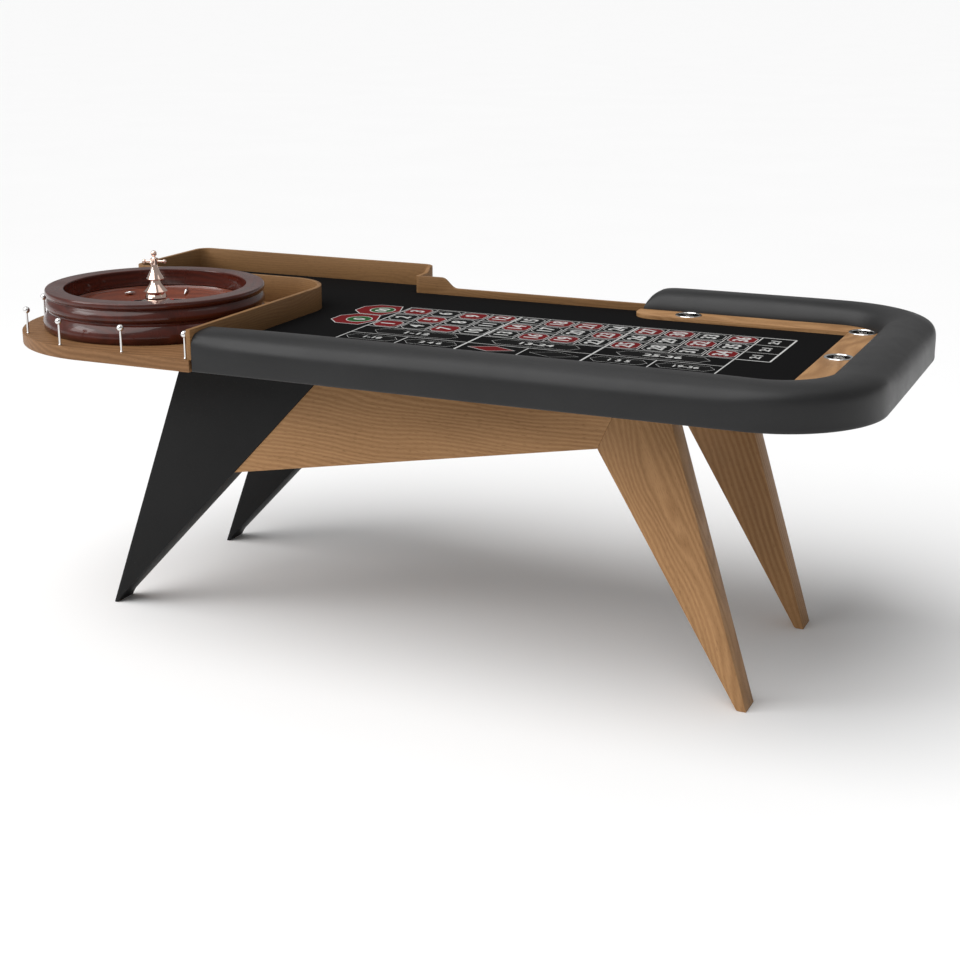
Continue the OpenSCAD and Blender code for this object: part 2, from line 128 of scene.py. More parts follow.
def cubic(a: Point2, b: Point2, c: Point2, d: Point2, steps: int) -> list[Point2]:
    """Points of a cubic curve, without its first one.

    Args:
        a: Start of the curve.
        b: First control point.
        c: Second control point.
        d: End of the curve.
        steps: How many points to give.

    Returns:
        The points in order, the last of them at d.
    """
    out: list[Point2] = []
    for i in range(1, steps + 1):
        t = i / steps
        w = ((1 - t) ** 3, 3 * t * (1 - t) ** 2, 3 * t * t * (1 - t), t**3)
        out.append(
            (
                sum(k * p[0] for k, p in zip(w, (a, b, c, d))),
                sum(k * p[1] for k, p in zip(w, (a, b, c, d))),
            )
        )
    return out


def millimetres(points: Sequence[Point2]) -> list[Point2]:
    """The same points in metres."""
    return [(x / 1000, y / 1000) for x, y in points]


# ---- bench: modelling by operator ----


def select_only(*things: Thing) -> None:
    """Leaves only these things selected, the first of them active."""
    if bpy.context.object and bpy.context.object.mode != "OBJECT":
        bpy.ops.object.mode_set(mode="OBJECT")
    bpy.ops.object.select_all(action="DESELECT")
    for thing in things:
        thing.select_set(True)
    if things:
        bpy.context.view_layer.objects.active = things[0]


@contextmanager
def editing(thing: Thing, mode: str = "FACE") -> Iterator[None]:
    """Edit mode on one thing.

    Args:
        thing: The mesh to edit.
        mode: VERT, EDGE or FACE.

    Yields:
        Nothing; object mode comes back at the end.
    """
    select_only(thing)
    kinds = ("VERT", "EDGE", "FACE")
    bpy.context.tool_settings.mesh_select_mode = [mode == kind for kind in kinds]
    bpy.ops.object.mode_set(mode="EDIT")
    try:
        yield
    finally:
        bpy.ops.object.mode_set(mode="OBJECT")


def pick_faces(thing: Thing, test: Callable[[bpy.types.MeshPolygon], bool]) -> None:
    """Selects the faces that pass a test, and nothing else."""
    mesh = thing.data
    for part in (mesh.vertices, mesh.edges, mesh.polygons):
        part.foreach_set("select", [False] * len(part))
    for face in mesh.polygons:
        face.select = bool(test(face))


def apply_modifier(thing: Thing, kind: str, **settings: object) -> None:
    """Adds a modifier, sets it and applies it.

    Args:
        thing: The mesh that it works on.
        kind: Blender's name for the modifier.
        **settings: Its properties.
    """
    select_only(thing)
    modifier = thing.modifiers.new(kind.title(), kind)
    for key, value in settings.items():
        setattr(modifier, key, value)
    bpy.ops.object.modifier_apply(modifier=modifier.name)


def smooth(thing: Thing, angle: float = SMOOTH_ANGLE) -> None:
    """Shades a thing smooth, except across edges sharper than the angle."""
    select_only(thing)
    bpy.ops.object.shade_smooth_by_angle(angle=angle)


def outline_loop(name: str, points: Sequence[Point3], fill: bool) -> Thing:
    """A closed loop of edges through given points.

    Args:
        name: Name of the new thing.
        points: The corners in order.
        fill: True for a face inside the loop.

    Returns:
        The new thing, with its place in its mesh.
    """
    select_only()
    bpy.ops.mesh.primitive_circle_add(
        vertices=len(points), radius=1, fill_type="NGON" if fill else "NOTHING"
    )
    thing = bpy.context.object
    thing.name = name
    for vertex, place in zip(thing.data.vertices, points):
        vertex.co = place
    return thing


def turned(name: str, profile: Sequence[Point2], centre: Point3, steps: int = 160) -> Thing:
    """A turned ring: a closed outline spun once about the vertical axis.

    Args:
        name: Name of the new thing.
        profile: Closed outline as radius and height above the centre.
        centre: A point on the axis.
        steps: How many sides the turning has.

    Returns:
        The new thing.
    """
    cx, cy, cz = centre
    thing = outline_loop(name, [(cx + r, cy, cz + z) for r, z in profile], False)
    with editing(thing, "VERT"):
        bpy.ops.mesh.select_all(action="SELECT")
        bpy.ops.mesh.spin(steps=steps, angle=FULL_TURN, center=centre, axis=(0, 0, 1))
        bpy.ops.mesh.select_all(action="SELECT")
        bpy.ops.mesh.remove_doubles(threshold=MERGE_GAP)
        bpy.ops.mesh.normals_make_consistent(inside=False)
    smooth(thing)
    return thing


def prism(name: str, outline: Sequence[Point2], low: float, high: float) -> Thing:
    """A flat outline raised from one height to another.

    Args:
        name: Name of the new thing.
        outline: Corners in plan.
        low: Height of the underside.
        high: Height of the top.

    Returns:
        The new thing.
    """
    thing = outline_loop(name, [(x, y, low) for x, y in outline], True)
    with editing(thing):
        bpy.ops.mesh.select_all(action="SELECT")
        bpy.ops.mesh.extrude_region_move(TRANSFORM_OT_translate={"value": (0, 0, high - low)})
        bpy.ops.mesh.select_all(action="SELECT")
        bpy.ops.mesh.normals_make_consistent(inside=False)
    return thing


def eased(node: str, name: str, radius: float, segments: int = 2) -> Thing:
    """A copy of a solid with its triangles merged and its sharp edges eased.

    Args:
        node: The solid to copy.
        name: Name of the copy.
        radius: Size of the eased edge.
        segments: How many steps round the edge.

    Returns:
        The copy, which stands for the solid.
    """
    thing = bpy.data.objects.new(name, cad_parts[node].data.copy())
    bpy.context.scene.collection.objects.link(thing)
    thing.data.materials.clear()
    with editing(thing, "VERT"):
        bpy.ops.mesh.customdata_custom_splitnormals_clear()
        bpy.ops.mesh.select_all(action="SELECT")
        bpy.ops.mesh.remove_doubles(threshold=MERGE_GAP)
        bpy.ops.mesh.dissolve_limited(angle_limit=math.radians(0.4))
    apply_modifier(
        thing,
        "BEVEL",
        width=radius,
        segments=segments,
        limit_method="ANGLE",
        angle_limit=math.radians(38),
        miter_outer="MITER_ARC",
        use_clamp_overlap=True,
    )
    smooth(thing)
    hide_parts(node)
    return thing


def merged(name: str, things: Sequence[Thing]) -> Thing:
    """Joins things into one and names it.

    Args:
        name: Name of the joined thing.
        things: What is joined.

    Returns:
        The joined thing.
    """
    select_only(*things)
    if len(things) > 1:
        bpy.ops.object.join()
    things[0].name = name
    things[0].data.name = name
    return things[0]


def copied(thing: Thing, move: Matrix) -> Thing:
    """A copy with its own mesh, its place moved in the mesh."""
    copy = bpy.data.objects.new(thing.name + "_copy", thing.data.copy())
    bpy.context.scene.collection.objects.link(copy)
    copy.data.transform(move)
    return copy


def numeral(label: str, height: float, stretch: float, bold: float, depth: float) -> Thing:
    """A printed number as a thin mesh, centred on the origin and reading along X.

    Args:
        label: The characters.
        height: Height of the digits.
        stretch: Width of the digits against their usual width.
        bold: How far the strokes are thickened, as a share of the height.
        depth: Thickness of the print.

    Returns:
        The mesh.
    """
    select_only()
    bpy.ops.object.text_add()
    thing = bpy.context.object
    text = thing.data
    text.body = label
    text.align_x, text.align_y = "CENTER", "CENTER"
    text.size = height / 0.72
    text.offset = bold * height
    text.extrude = depth / 2
    text.resolution_u = 3
    bpy.ops.object.convert(target="MESH")
    thing = bpy.context.object
    thing.name = "numeral"
    thing.data.transform(Matrix.Diagonal((stretch, 1, 1, 1)))
    with editing(thing, "VERT"):
        bpy.ops.mesh.select_all(action="SELECT")
        bpy.ops.mesh.remove_doubles(threshold=MERGE_GAP)
    return thing


def settle(
    thing: Thing,
    finishes: Sequence["Finish"],
    body: Body = Body.TABLE,
) -> Thing:
    """Dresses a finished piece and hands it to its body.

    Args:
        thing: The piece.
        finishes: Its finishes, in the order of its material slots.
        body: The body that carries it.

    Returns:
        The piece.
    """
    while len(thing.data.materials) < len(finishes):
        thing.data.materials.append(None)
    for index, finish in enumerate(finishes):
        thing.data.materials[index] = finish.material()
    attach(thing, body.value)
    LOG.info("piece %-22s %7d faces", thing.name, len(thing.data.polygons))
    return thing


def dress_node(node: str, finish: "Finish") -> None:
    """Gives a solid that is shown as it is its finish."""
    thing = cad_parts[node]
    for index in range(max(1, len(thing.data.materials))):
        if thing.data.materials:
            thing.data.materials[index] = finish.material()
        else:
            thing.data.materials.append(finish.material())
    LOG.info("solid %-22s dressed", node)


# ---- grain: where the wood's fibres run ----

GRAIN = "grain_at"


@dataclass(frozen=True)
class GrainLine:
    """The line that a piece's fibres follow in plan.

    Attributes:
        points: The line's points in plan.
        shift: Moves the figure, so that no two pieces show the same.
    """

    points: tuple[Point2, ...]
    shift: float = 0.0

    def at(self, places: np.ndarray) -> np.ndarray:
        """Where places lie in the wood.

        Args:
            places: Points in the table's frame, one a row.

        Returns:
            Distance along the fibres, height and distance across, one row each.
        """
        line = np.array(self.points)
        start, step = line[:-1], np.diff(line, axis=0)
        length = np.hypot(step[:, 0], step[:, 1])
        before = np.concatenate([[0.0], np.cumsum(length)[:-1]])
        away = places[:, None, :2] - start[None]
        t = np.clip((away * step).sum(2) / length**2, 0, 1)
        t[:, 0] = np.minimum((away[:, 0] * step[0]).sum(1) / length[0] ** 2, 1)
        t[:, -1] = np.maximum((away[:, -1] * step[-1]).sum(1) / length[-1] ** 2, 0)
        gap = away - t[..., None] * step
        near = np.hypot(gap[..., 0], gap[..., 1]).argmin(1)
        row = np.arange(len(places))
        side = (step[near, 0] * gap[row, near, 1] - step[near, 1] * gap[row, near, 0]) / length[near]
        along = before[near] + t[row, near] * length[near]
        return np.stack([along + self.shift, places[:, 2] + self.shift * 0.37, side], axis=1)


@dataclass(frozen=True)
class GrainAxis:
    """Straight fibres in a sawn board.

    Attributes:
        along: Direction of the fibres.
        face: Direction across the board's broad face.
        shift: Moves the figure.
    """

    along: Point3
    face: Point3
    shift: float = 0.0

    def at(self, places: np.ndarray) -> np.ndarray:
        """Where places lie in the wood, as GrainLine.at gives it."""
        x = Vector(self.along).normalized()
        y = Vector(self.face).normalized()
        z = x.cross(y)
        turned_places = places @ np.array([x, y, z]).T
        return turned_places + np.array([self.shift, self.shift * 0.37, self.shift * 0.11])


def lay_grain(thing: Thing, grain: GrainLine | GrainAxis) -> None:
    """Writes where each point of a piece lies in its wood."""
    mesh = thing.data
    places = np.zeros(len(mesh.vertices) * 3)
    mesh.vertices.foreach_get("co", places)
    attribute = mesh.attributes.new(GRAIN, "FLOAT_VECTOR", "POINT")
    laid = grain.at(places.reshape(-1, 3)).astype(np.float32)
    attribute.data.foreach_set("vector", laid.ravel())


# ---- node work shared by the finishes ----


class Graph:
    """A node tree while it is being wired."""

    def __init__(self, tree: bpy.types.NodeTree) -> None:
        """Takes an empty tree."""
        self.tree = tree

    def add(self, kind: str, inputs: dict | None = None, **settings: object) -> bpy.types.Node:
        """Adds a node.

        Args:
            kind: The node's type, without its ShaderNode prefix.
            inputs: Values or sockets for its inputs, by name or index.
            **settings: Its properties.

        Returns:
            The node.
        """
        node = self.tree.nodes.new("ShaderNode" + kind)
        for key, value in settings.items():
            setattr(node, key, value)
        for key, value in (inputs or {}).items():
            self.feed(node.inputs[key], value)
        return node

    def feed(self, socket: Socket, value: object) -> None:
        """Links a socket or sets its value."""
        if isinstance(value, bpy.types.NodeSocket):
            self.tree.links.new(value, socket)
        else:
            socket.default_value = value

    def math(self, operation: str, a: object, b: object = 0.0, clamp: bool = False) -> Socket:
        """The result of a Math node."""
        node = self.add("Math", {0: a, 1: b}, operation=operation, use_clamp=clamp)
        return node.outputs[0]

    def span(self, value: Socket, low: float, high: float, to_low: float, to_high: float) -> Socket:
        """A value's range moved to another range and held there."""
        node = self.add("MapRange", {0: value, 1: low, 2: high, 3: to_low, 4: to_high}, clamp=True)
        return node.outputs[0]

    def mix(self, share: object, a: object, b: object, blend: str = "MIX") -> Socket:
        """Two colours mixed."""
        node = self.add("Mix", {0: share, 6: a, 7: b}, data_type="RGBA", blend_type=blend)
        return node.outputs[2]

    def place(self, vector: Socket, scale: Point3 = (1, 1, 1), turn: Point3 = (0, 0, 0),
              move: Point3 = (0, 0, 0)) -> Socket:
        """A vector moved, turned and stretched by a Mapping node."""
        node = self.add(
            "Mapping", {"Vector": vector, "Scale": scale, "Rotation": turn, "Location": move}
        )
        return node.outputs[0]

    def noise(self, vector: Socket, scale: object, detail: float = 3.0,
              rough: float = 0.55, warp: float = 0.0) -> Socket:
        """The value of a noise texture."""
        node = self.add(
            "TexNoise",
            {"Vector": vector, "Scale": scale, "Detail": detail, "Roughness": rough,
             "Distortion": warp},
        )
        return node.outputs[0]

    def bump(self, height: Socket, strength: float, distance: float) -> Socket:
        """A normal from a height."""
        node = self.add("Bump", {"Height": height, "Strength": strength, "Distance": distance})
        return node.outputs[0]


def shader_group(name: str, ins: Sequence[tuple[str, str, object]],
                 outs: Sequence[tuple[str, str]]) -> tuple[Graph, dict[str, Socket], bpy.types.Node]:
    """Starts a shader node group.

    Args:
        name: The group's name.
        ins: Name, socket type and first value of each input.
        outs: Name and socket type of each output.

    Returns:
        Its graph, its input sockets by name and its output node.
    """
    tree = bpy.data.node_groups.new(name, "ShaderNodeTree")
    for label, kind, value in ins:
        socket = tree.interface.new_socket(name=label, in_out="INPUT", socket_type="NodeSocket" + kind)
        if value is not None:
            socket.default_value = value
    for label, kind in outs:
        tree.interface.new_socket(name=label, in_out="OUTPUT", socket_type="NodeSocket" + kind)
    entry = tree.nodes.new("NodeGroupInput")
    return Graph(tree), {s.name: s for s in entry.outputs if s.name}, tree.nodes.new("NodeGroupOutput")


class Effect(Enum):
    """Surface effects that several materials share."""

    TIMBER = "timber_figure"
    WEAR = "edge_wear"
    SMUDGE = "handling_smudge"
    HIDE = "vinyl_hide"
    NAP = "cloth_nap"
    BRUSH = "brushed_lines"

    def group(self) -> bpy.types.NodeTree:
        """The effect's node group, built the first time it is asked for."""
        made = bpy.data.node_groups.get(self.value)
        return made if made else getattr(self, "_" + self.name.lower())()

    def _timber(self) -> bpy.types.NodeTree:
        """Growth rings, fibres and pores of a sawn board."""
        g, ins, out = shader_group(
            self.value,
            [("Vector", "Vector", None), ("Rings", "Float", 30.0), ("Fibres", "Float", 1.0)],
            [("Figure", "Float"), ("Fibre", "Float"), ("Pores", "Float")],
        )
        drift = g.noise(g.place(ins["Vector"], (1.3, 5.0, 5.0)), 1.0, 2.0)
        lifted = g.add("VectorMath", {0: ins["Vector"], 1: (0.0, 0.0, 0.0)}, operation="ADD")
        shove = g.add("CombineXYZ", {0: 0.0, 1: g.span(drift, 0.3, 0.7, -0.035, 0.035),
                                     2: g.span(drift, 0.3, 0.7, 0.03, -0.03)})
        g.feed(lifted.inputs[1], shove.outputs[0])
        heart = g.place(lifted.outputs[0], (0.35, 1.0, 1.0), (0.0, 0.055, 0.02), (0.0, -0.28, 0.075))
        rings = g.add(
            "TexWave",
            {"Vector": heart, "Scale": ins["Rings"], "Distortion": 1.6, "Detail": 2.0,
             "Detail Scale": 1.4, "Detail Roughness": 0.5},
            wave_type="RINGS", rings_direction="X", wave_profile="SIN",
        )
        broad = g.noise(g.place(ins["Vector"], (2.0, 14.0, 14.0)), 1.0, 3.0)
        figure = g.math("ADD", g.math("MULTIPLY", rings.outputs[1], 0.6), g.math("MULTIPLY", broad, 0.4))
        fine = g.place(ins["Vector"], (9.0, 420.0, 420.0))
        fibre = g.noise(fine, ins["Fibres"], 4.0, 0.65)
        streak = g.noise(g.place(ins["Vector"], (3.0, 110.0, 110.0)), ins["Fibres"], 2.0, 0.5)
        fibres = g.math("ADD", g.math("MULTIPLY", fibre, 0.55), g.math("MULTIPLY", streak, 0.45))
        dots = g.noise(g.place(ins["Vector"], (55.0, 1500.0, 1500.0)), ins["Fibres"], 1.0, 0.4)
        g.feed(out.inputs["Figure"], figure)
        g.feed(out.inputs["Fibre"], fibres)
        g.feed(out.inputs["Pores"], g.span(dots, 0.6, 0.72, 0.0, 1.0))
        return g.tree

    def _wear(self) -> bpy.types.NodeTree:
        """A broken mask along a piece's convex edges."""
        g, ins, out = shader_group(
            self.value,
            [("Vector", "Vector", None), ("Radius", "Float", 0.004)],
            [("Mask", "Float")],
        )
        rounded = g.add("Bevel", {"Radius": ins["Radius"]}, samples=4)
        real = g.add("NewGeometry")
        dot = g.add("VectorMath", {0: rounded.outputs[0], 1: real.outputs["Normal"]},
                    operation="DOT_PRODUCT")
        edge = g.span(dot.outputs["Value"], 0.995, 0.9, 0.0, 1.0)
        broken = g.span(g.noise(ins["Vector"], 38.0, 4.0), 0.38, 0.62, 0.15, 1.0)
        g.feed(out.inputs["Mask"], g.math("MULTIPLY", edge, broken, True))
        return g.tree

    def _smudge(self) -> bpy.types.NodeTree:
        """Faint uneven gloss from handling and dust."""
        g, ins, out = shader_group(
            self.value,
            [("Vector", "Vector", None), ("Base", "Float", 0.4), ("Amount", "Float", 0.1)],
            [("Roughness", "Float"), ("Dust", "Float")],
        )
        cloud = g.noise(ins["Vector"], 7.0, 5.0, 0.6, 0.6)
        speck = g.noise(ins["Vector"], 320.0, 2.0, 0.5)
        shift = g.math("MULTIPLY", g.span(cloud, 0.3, 0.7, -1.0, 1.0), ins["Amount"])
        g.feed(out.inputs["Roughness"], g.math("ADD", ins["Base"], shift, True))
        g.feed(out.inputs["Dust"], g.math("MULTIPLY", g.span(speck, 0.62, 0.8, 0.0, 1.0),
                                          g.span(cloud, 0.4, 0.7, 0.2, 1.0)))
        return g.tree

    def _hide(self) -> bpy.types.NodeTree:
        """Embossed pebble grain of upholstery vinyl."""
        g, ins, out = shader_group(
            self.value,
            [("Vector", "Vector", None), ("Pebbles", "Float", 520.0)],
            [("Height", "Float"), ("Tone", "Float")],
        )
        bent = g.add("VectorMath", {0: ins["Vector"], 1: (0, 0, 0)}, operation="ADD")
        wobble = g.add("TexNoise", {"Vector": ins["Vector"], "Scale": 260.0, "Detail": 1.0})
        small = g.add("VectorMath", {0: wobble.outputs["Color"], "Scale": 0.0012}, operation="SCALE")
        g.feed(bent.inputs[1], small.outputs[0])
        cells = g.add("TexVoronoi", {"Vector": bent.outputs[0], "Scale": ins["Pebbles"]},
                      feature="DISTANCE_TO_EDGE")
        pebble = g.span(cells.outputs[0], 0.0, 0.32, 0.0, 1.0)
        fine = g.noise(ins["Vector"], 1900.0, 2.0)
        g.feed(out.inputs["Height"], g.math("ADD", g.math("MULTIPLY", pebble, 0.8),
                                            g.math("MULTIPLY", fine, 0.2)))
        g.feed(out.inputs["Tone"], g.span(g.noise(ins["Vector"], 5.0, 4.0), 0.3, 0.7, 0.0, 1.0))
        return g.tree

    def _nap(self) -> bpy.types.NodeTree:
        """Short lying fibres over a close weave."""
        g, ins, out = shader_group(
            self.value,
            [("Vector", "Vector", None), ("Threads", "Float", 900.0)],
            [("Height", "Float"), ("Tone", "Float")],
        )
        warp = g.add("TexWave", {"Vector": ins["Vector"], "Scale": 85.0, "Distortion": 2.5,
                                 "Detail": 2.0, "Detail Scale": 3.0}, bands_direction="X")
        weft = g.add("TexWave", {"Vector": ins["Vector"], "Scale": 85.0, "Distortion": 2.5,
                                 "Detail": 2.0, "Detail Scale": 3.0}, bands_direction="Y")
        weave = g.math("MULTIPLY", warp.outputs[1], weft.outputs[1])
        fuzz = g.noise(ins["Vector"], ins["Threads"], 4.0, 0.7, 0.8)
        g.feed(out.inputs["Height"], g.math("ADD", g.math("MULTIPLY", weave, 0.35),
                                            g.math("MULTIPLY", fuzz, 0.65)))
        lie = g.noise(g.place(ins["Vector"], (4.0, 9.0, 4.0)), 1.0, 4.0)
        tone = g.math("ADD", g.math("MULTIPLY", fuzz, 0.5), g.math("MULTIPLY", lie, 0.5))
        g.feed(out.inputs["Tone"], g.span(tone, 0.3, 0.7, 0.0, 1.0))
        return g.tree

    def _brush(self) -> bpy.types.NodeTree:
        """Fine lines left by polishing round an upright axis."""
        g, ins, out = shader_group(
            self.value,
            [("Vector", "Vector", None), ("Lines", "Float", 1.0)],
            [("Height", "Float")],
        )
        lines = g.noise(g.place(ins["Vector"], (40.0, 40.0, 2600.0)), ins["Lines"], 2.0, 0.6)
        wisp = g.noise(ins["Vector"], 160.0, 3.0)
        g.feed(out.inputs["Height"], g.math("ADD", g.math("MULTIPLY", lines, 0.7),
                                            g.math("MULTIPLY", wisp, 0.3)))
        return g.tree


class Finish:
    """A finish that knows how to make its material."""

    name: str

    def material(self) -> bpy.types.Material:
        """The finish's material, made the first time it is asked for."""
        made = bpy.data.materials.get(self.name)
        if made:
            return made
        made = bpy.data.materials.new(self.name)
        made.use_nodes = True
        made.node_tree.nodes.clear()
        graph = Graph(made.node_tree)
        shader = graph.add("BsdfPrincipled")
        output = graph.add("OutputMaterial")
        graph.feed(output.inputs["Surface"], shader.outputs[0])
        self.wire(graph, shader)
        return made

    def wire(self, g: Graph, shader: bpy.types.Node) -> None:
        """Wires the material round its Principled shader."""
        raise NotImplementedError

    @staticmethod
    def effect(g: Graph, effect: Effect, **inputs: object) -> bpy.types.Node:
        """Places a shared effect in a material.

        Args:
            g: The material's graph.
            effect: Which effect.
            **inputs: Values or sockets for its inputs.

        Returns:
            The group node.
        """
        node = g.add("Group", node_tree=effect.group())
        for key, value in inputs.items():
            g.feed(node.inputs[key], value)
        return node

    @staticmethod
    def own_place(g: Graph) -> Socket:
        """The piece's own coordinates."""
        return g.add("TexCoord").outputs["Object"]


def rgba(colour: Colour, share: float = 1.0) -> tuple[float, float, float, float]:
    """A colour for a node socket, made lighter or darker by a share."""
    return (colour[0] * share, colour[1] * share, colour[2] * share, 1.0)


@dataclass(frozen=True)
class TimberFinish(Finish):
    """Wood with growth rings, fibres and pores that follow the piece's grain.

    Attributes:
        name: Name of the material.
        light: Colour of the early wood.
        dark: Colour of the late wood.
        pore: Colour down in the pores.
        rings: Closeness of the growth rings.
        roughness: Roughness of the oiled or varnished face.
        coat: Weight of the varnish over it.
        coat_roughness: Roughness of the varnish.
        relief: Height of the open grain.
        worn: How much lighter the edges are.
        contrast: How strongly the figure shows.
    """

    name: str
    light: Colour
    dark: Colour
    pore: Colour
    rings: float = 30.0
    roughness: float = 0.5
    coat: float = 0.0
    coat_roughness: float = 0.1
    relief: float = 0.00018
    worn: float = 0.25
    contrast: float = 1.0

    def wire(self, g: Graph, shader: bpy.types.Node) -> None:
        """Wires the wood."""
        here = g.add("Attribute", attribute_name=GRAIN).outputs["Vector"]
        wood = self.effect(g, Effect.TIMBER, Vector=here, Rings=self.rings)
        figure = g.span(wood.outputs["Figure"], 0.5 - 0.36 / self.contrast,
                        0.5 + 0.36 / self.contrast, 0.0, 1.0)
        tone = g.mix(figure, rgba(self.light), rgba(self.dark))
        fibre = g.span(wood.outputs["Fibre"], 0.34, 0.66, 0.0, 1.0)
        tone = g.mix(g.math("MULTIPLY", fibre, 0.42), tone, rgba(self.dark, 0.8))
        cloud = g.noise(g.place(here, (0.8, 3.0, 3.0)), 2.2, 2.0)
        tone = g.mix(g.span(cloud, 0.35, 0.65, 0.0, 0.35), tone, rgba(self.light, 1.12))
        tone = g.mix(g.math("MULTIPLY", wood.outputs["Pores"], 0.6), tone, rgba(self.pore))
        wear = self.effect(g, Effect.WEAR, Vector=here, Radius=0.0035)
        tone = g.mix(g.math("MULTIPLY", wear.outputs["Mask"], self.worn), tone, rgba(self.light, 1.35))
        g.feed(shader.inputs["Base Color"], tone)
        gloss = self.effect(g, Effect.SMUDGE, Vector=here, Base=self.roughness, Amount=0.07)
        open_pores = g.math("MULTIPLY", wood.outputs["Pores"], 0.15)
        g.feed(shader.inputs["Roughness"], g.math("ADD", gloss.outputs["Roughness"], open_pores, True))
        height = g.math("SUBTRACT", g.math("MULTIPLY", fibre, -0.5), wood.outputs["Pores"])
        g.feed(shader.inputs["Normal"], g.bump(height, 0.55, self.relief))
        shader.inputs["Specular IOR Level"].default_value = 0.2
        shader.inputs["Coat Weight"].default_value = self.coat
        shader.inputs["Coat Roughness"].default_value = self.coat_roughness


@dataclass(frozen=True)
class PaintFinish(Finish):
    """Sprayed paint with a faint orange peel and rubbed edges.

    Attributes:
        name: Name of the material.
        colour: Colour of the paint.
        rubbed: Colour where the edges are rubbed.
        roughness: Roughness of the paint.
        peel: Height of the orange peel.
        shine: Level of its specular reflection.
    """

    name: str
    colour: Colour
    rubbed: Colour
    roughness: float = 0.5
    peel: float = 0.00006
    shine: float = 0.22

    def wire(self, g: Graph, shader: bpy.types.Node) -> None:
        """Wires the paint."""
        here = self.own_place(g)
        gloss = self.effect(g, Effect.SMUDGE, Vector=here, Base=self.roughness, Amount=0.06)
        wear = self.effect(g, Effect.WEAR, Vector=here, Radius=0.003)
        cloud = g.span(g.noise(here, 3.0, 4.0), 0.3, 0.7, 0.0, 1.0)
        tone = g.mix(cloud, rgba(self.colour, 0.86), rgba(self.colour, 1.14))
        tone = g.mix(g.math("MULTIPLY", wear.outputs["Mask"], 0.5), tone, rgba(self.rubbed))
        tone = g.mix(g.math("MULTIPLY", gloss.outputs["Dust"], 0.12), tone, rgba((0.2, 0.19, 0.18)))
        g.feed(shader.inputs["Base Color"], tone)
        g.feed(shader.inputs["Roughness"], gloss.outputs["Roughness"])
        skin = g.math("ADD", g.noise(here, 420.0, 2.0), g.math("MULTIPLY", g.noise(here, 60.0, 2.0), 0.6))
        g.feed(shader.inputs["Normal"], g.bump(skin, 0.3, self.peel))
        shader.inputs["Specular IOR Level"].default_value = self.shine


@dataclass(frozen=True)
class VinylFinish(Finish):
    """Upholstery vinyl with an embossed grain."""

    name: str = "armrest_vinyl"
    colour: Colour = (0.0145, 0.0145, 0.0149)
    roughness: float = 0.38

    def wire(self, g: Graph, shader: bpy.types.Node) -> None:
        """Wires the vinyl."""
        here = self.own_place(g)
        hide = self.effect(g, Effect.HIDE, Vector=here, Pebbles=560.0)
        gloss = self.effect(g, Effect.SMUDGE, Vector=here, Base=self.roughness, Amount=0.05)
        tone = g.mix(hide.outputs["Tone"], rgba(self.colour, 0.88), rgba(self.colour, 1.12))
        # Painted shade: the valleys of the pebble grain are darkened in colour, and they are also made
        # rougher.
        valley_shade = g.span(hide.outputs["Height"], 0.1, 0.5, 0.28, 0.0)
        tone = g.mix(valley_shade, tone, rgba(self.colour, 0.55))
        tone = g.mix(g.math("MULTIPLY", gloss.outputs["Dust"], 0.1), tone, rgba((0.12, 0.12, 0.12)))
        g.feed(shader.inputs["Base Color"], tone)
        g.feed(shader.inputs["Roughness"], g.math(
            "ADD", gloss.outputs["Roughness"], g.math("MULTIPLY", valley_shade, 0.3), True))
        g.feed(shader.inputs["Normal"], g.bump(hide.outputs["Height"], 0.35, 0.00022))
        shader.inputs["Specular IOR Level"].default_value = 0.3
        shader.inputs["Sheen Weight"].default_value = 0.02
        shader.inputs["Sheen Roughness"].default_value = 0.5


@dataclass(frozen=True)
class ClothFinish(Finish):
    """Wool cloth, plain or printed, with a short nap.

    Attributes:
        name: Name of the material.
        colour: Colour of the cloth or its ink.
        lift: How much lighter the standing fibres are.
        sheen: Weight of the nap's sheen.
    """

    name: str
    colour: Colour
    lift: float = 1.5
    sheen: float = 0.12

    def wire(self, g: Graph, shader: bpy.types.Node) -> None:
        """Wires the cloth."""
        here = self.own_place(g)
        nap = self.effect(g, Effect.NAP, Vector=here, Threads=950.0)
        low, high = rgba(self.colour, 0.72), rgba(self.colour, self.lift)
        g.feed(shader.inputs["Base Color"], g.mix(nap.outputs["Tone"], low, high))
        g.feed(shader.inputs["Roughness"], g.span(nap.outputs["Tone"], 0.0, 1.0, 0.86, 0.98))
        g.feed(shader.inputs["Normal"], g.bump(nap.outputs["Height"], 0.6, 0.0004))
        shader.inputs["Specular IOR Level"].default_value = 0.06
        shader.inputs["Sheen Weight"].default_value = self.sheen
        shader.inputs["Sheen Roughness"].default_value = 0.6


@dataclass(frozen=True)
class MetalFinish(Finish):
    """Polished, plated or turned metal.

    Attributes:
        name: Name of the material.
        colour: Colour of the metal.
        roughness: Roughness of the face.
        lines: Height of its polishing lines.
        tarnish: Colour in its dull patches.
    """

    name: str
    colour: Colour
    roughness: float = 0.1
    lines: float = 0.00001
    tarnish: Colour = (0.4, 0.38, 0.36)

    def wire(self, g: Graph, shader: bpy.types.Node) -> None:
        """Wires the metal."""
        here = self.own_place(g)
        gloss = self.effect(g, Effect.SMUDGE, Vector=here, Base=self.roughness, Amount=0.04)
        brush = self.effect(g, Effect.BRUSH, Vector=here, Lines=1.0)
        dull = g.span(g.noise(here, 45.0, 4.0), 0.55, 0.8, 0.0, 0.25)
        g.feed(shader.inputs["Base Color"], g.mix(dull, rgba(self.colour), rgba(self.tarnish)))
        g.feed(shader.inputs["Roughness"], gloss.outputs["Roughness"])
        g.feed(shader.inputs["Normal"], g.bump(brush.outputs["Height"], 0.3, self.lines))
        shader.inputs["Metallic"].default_value = 1.0


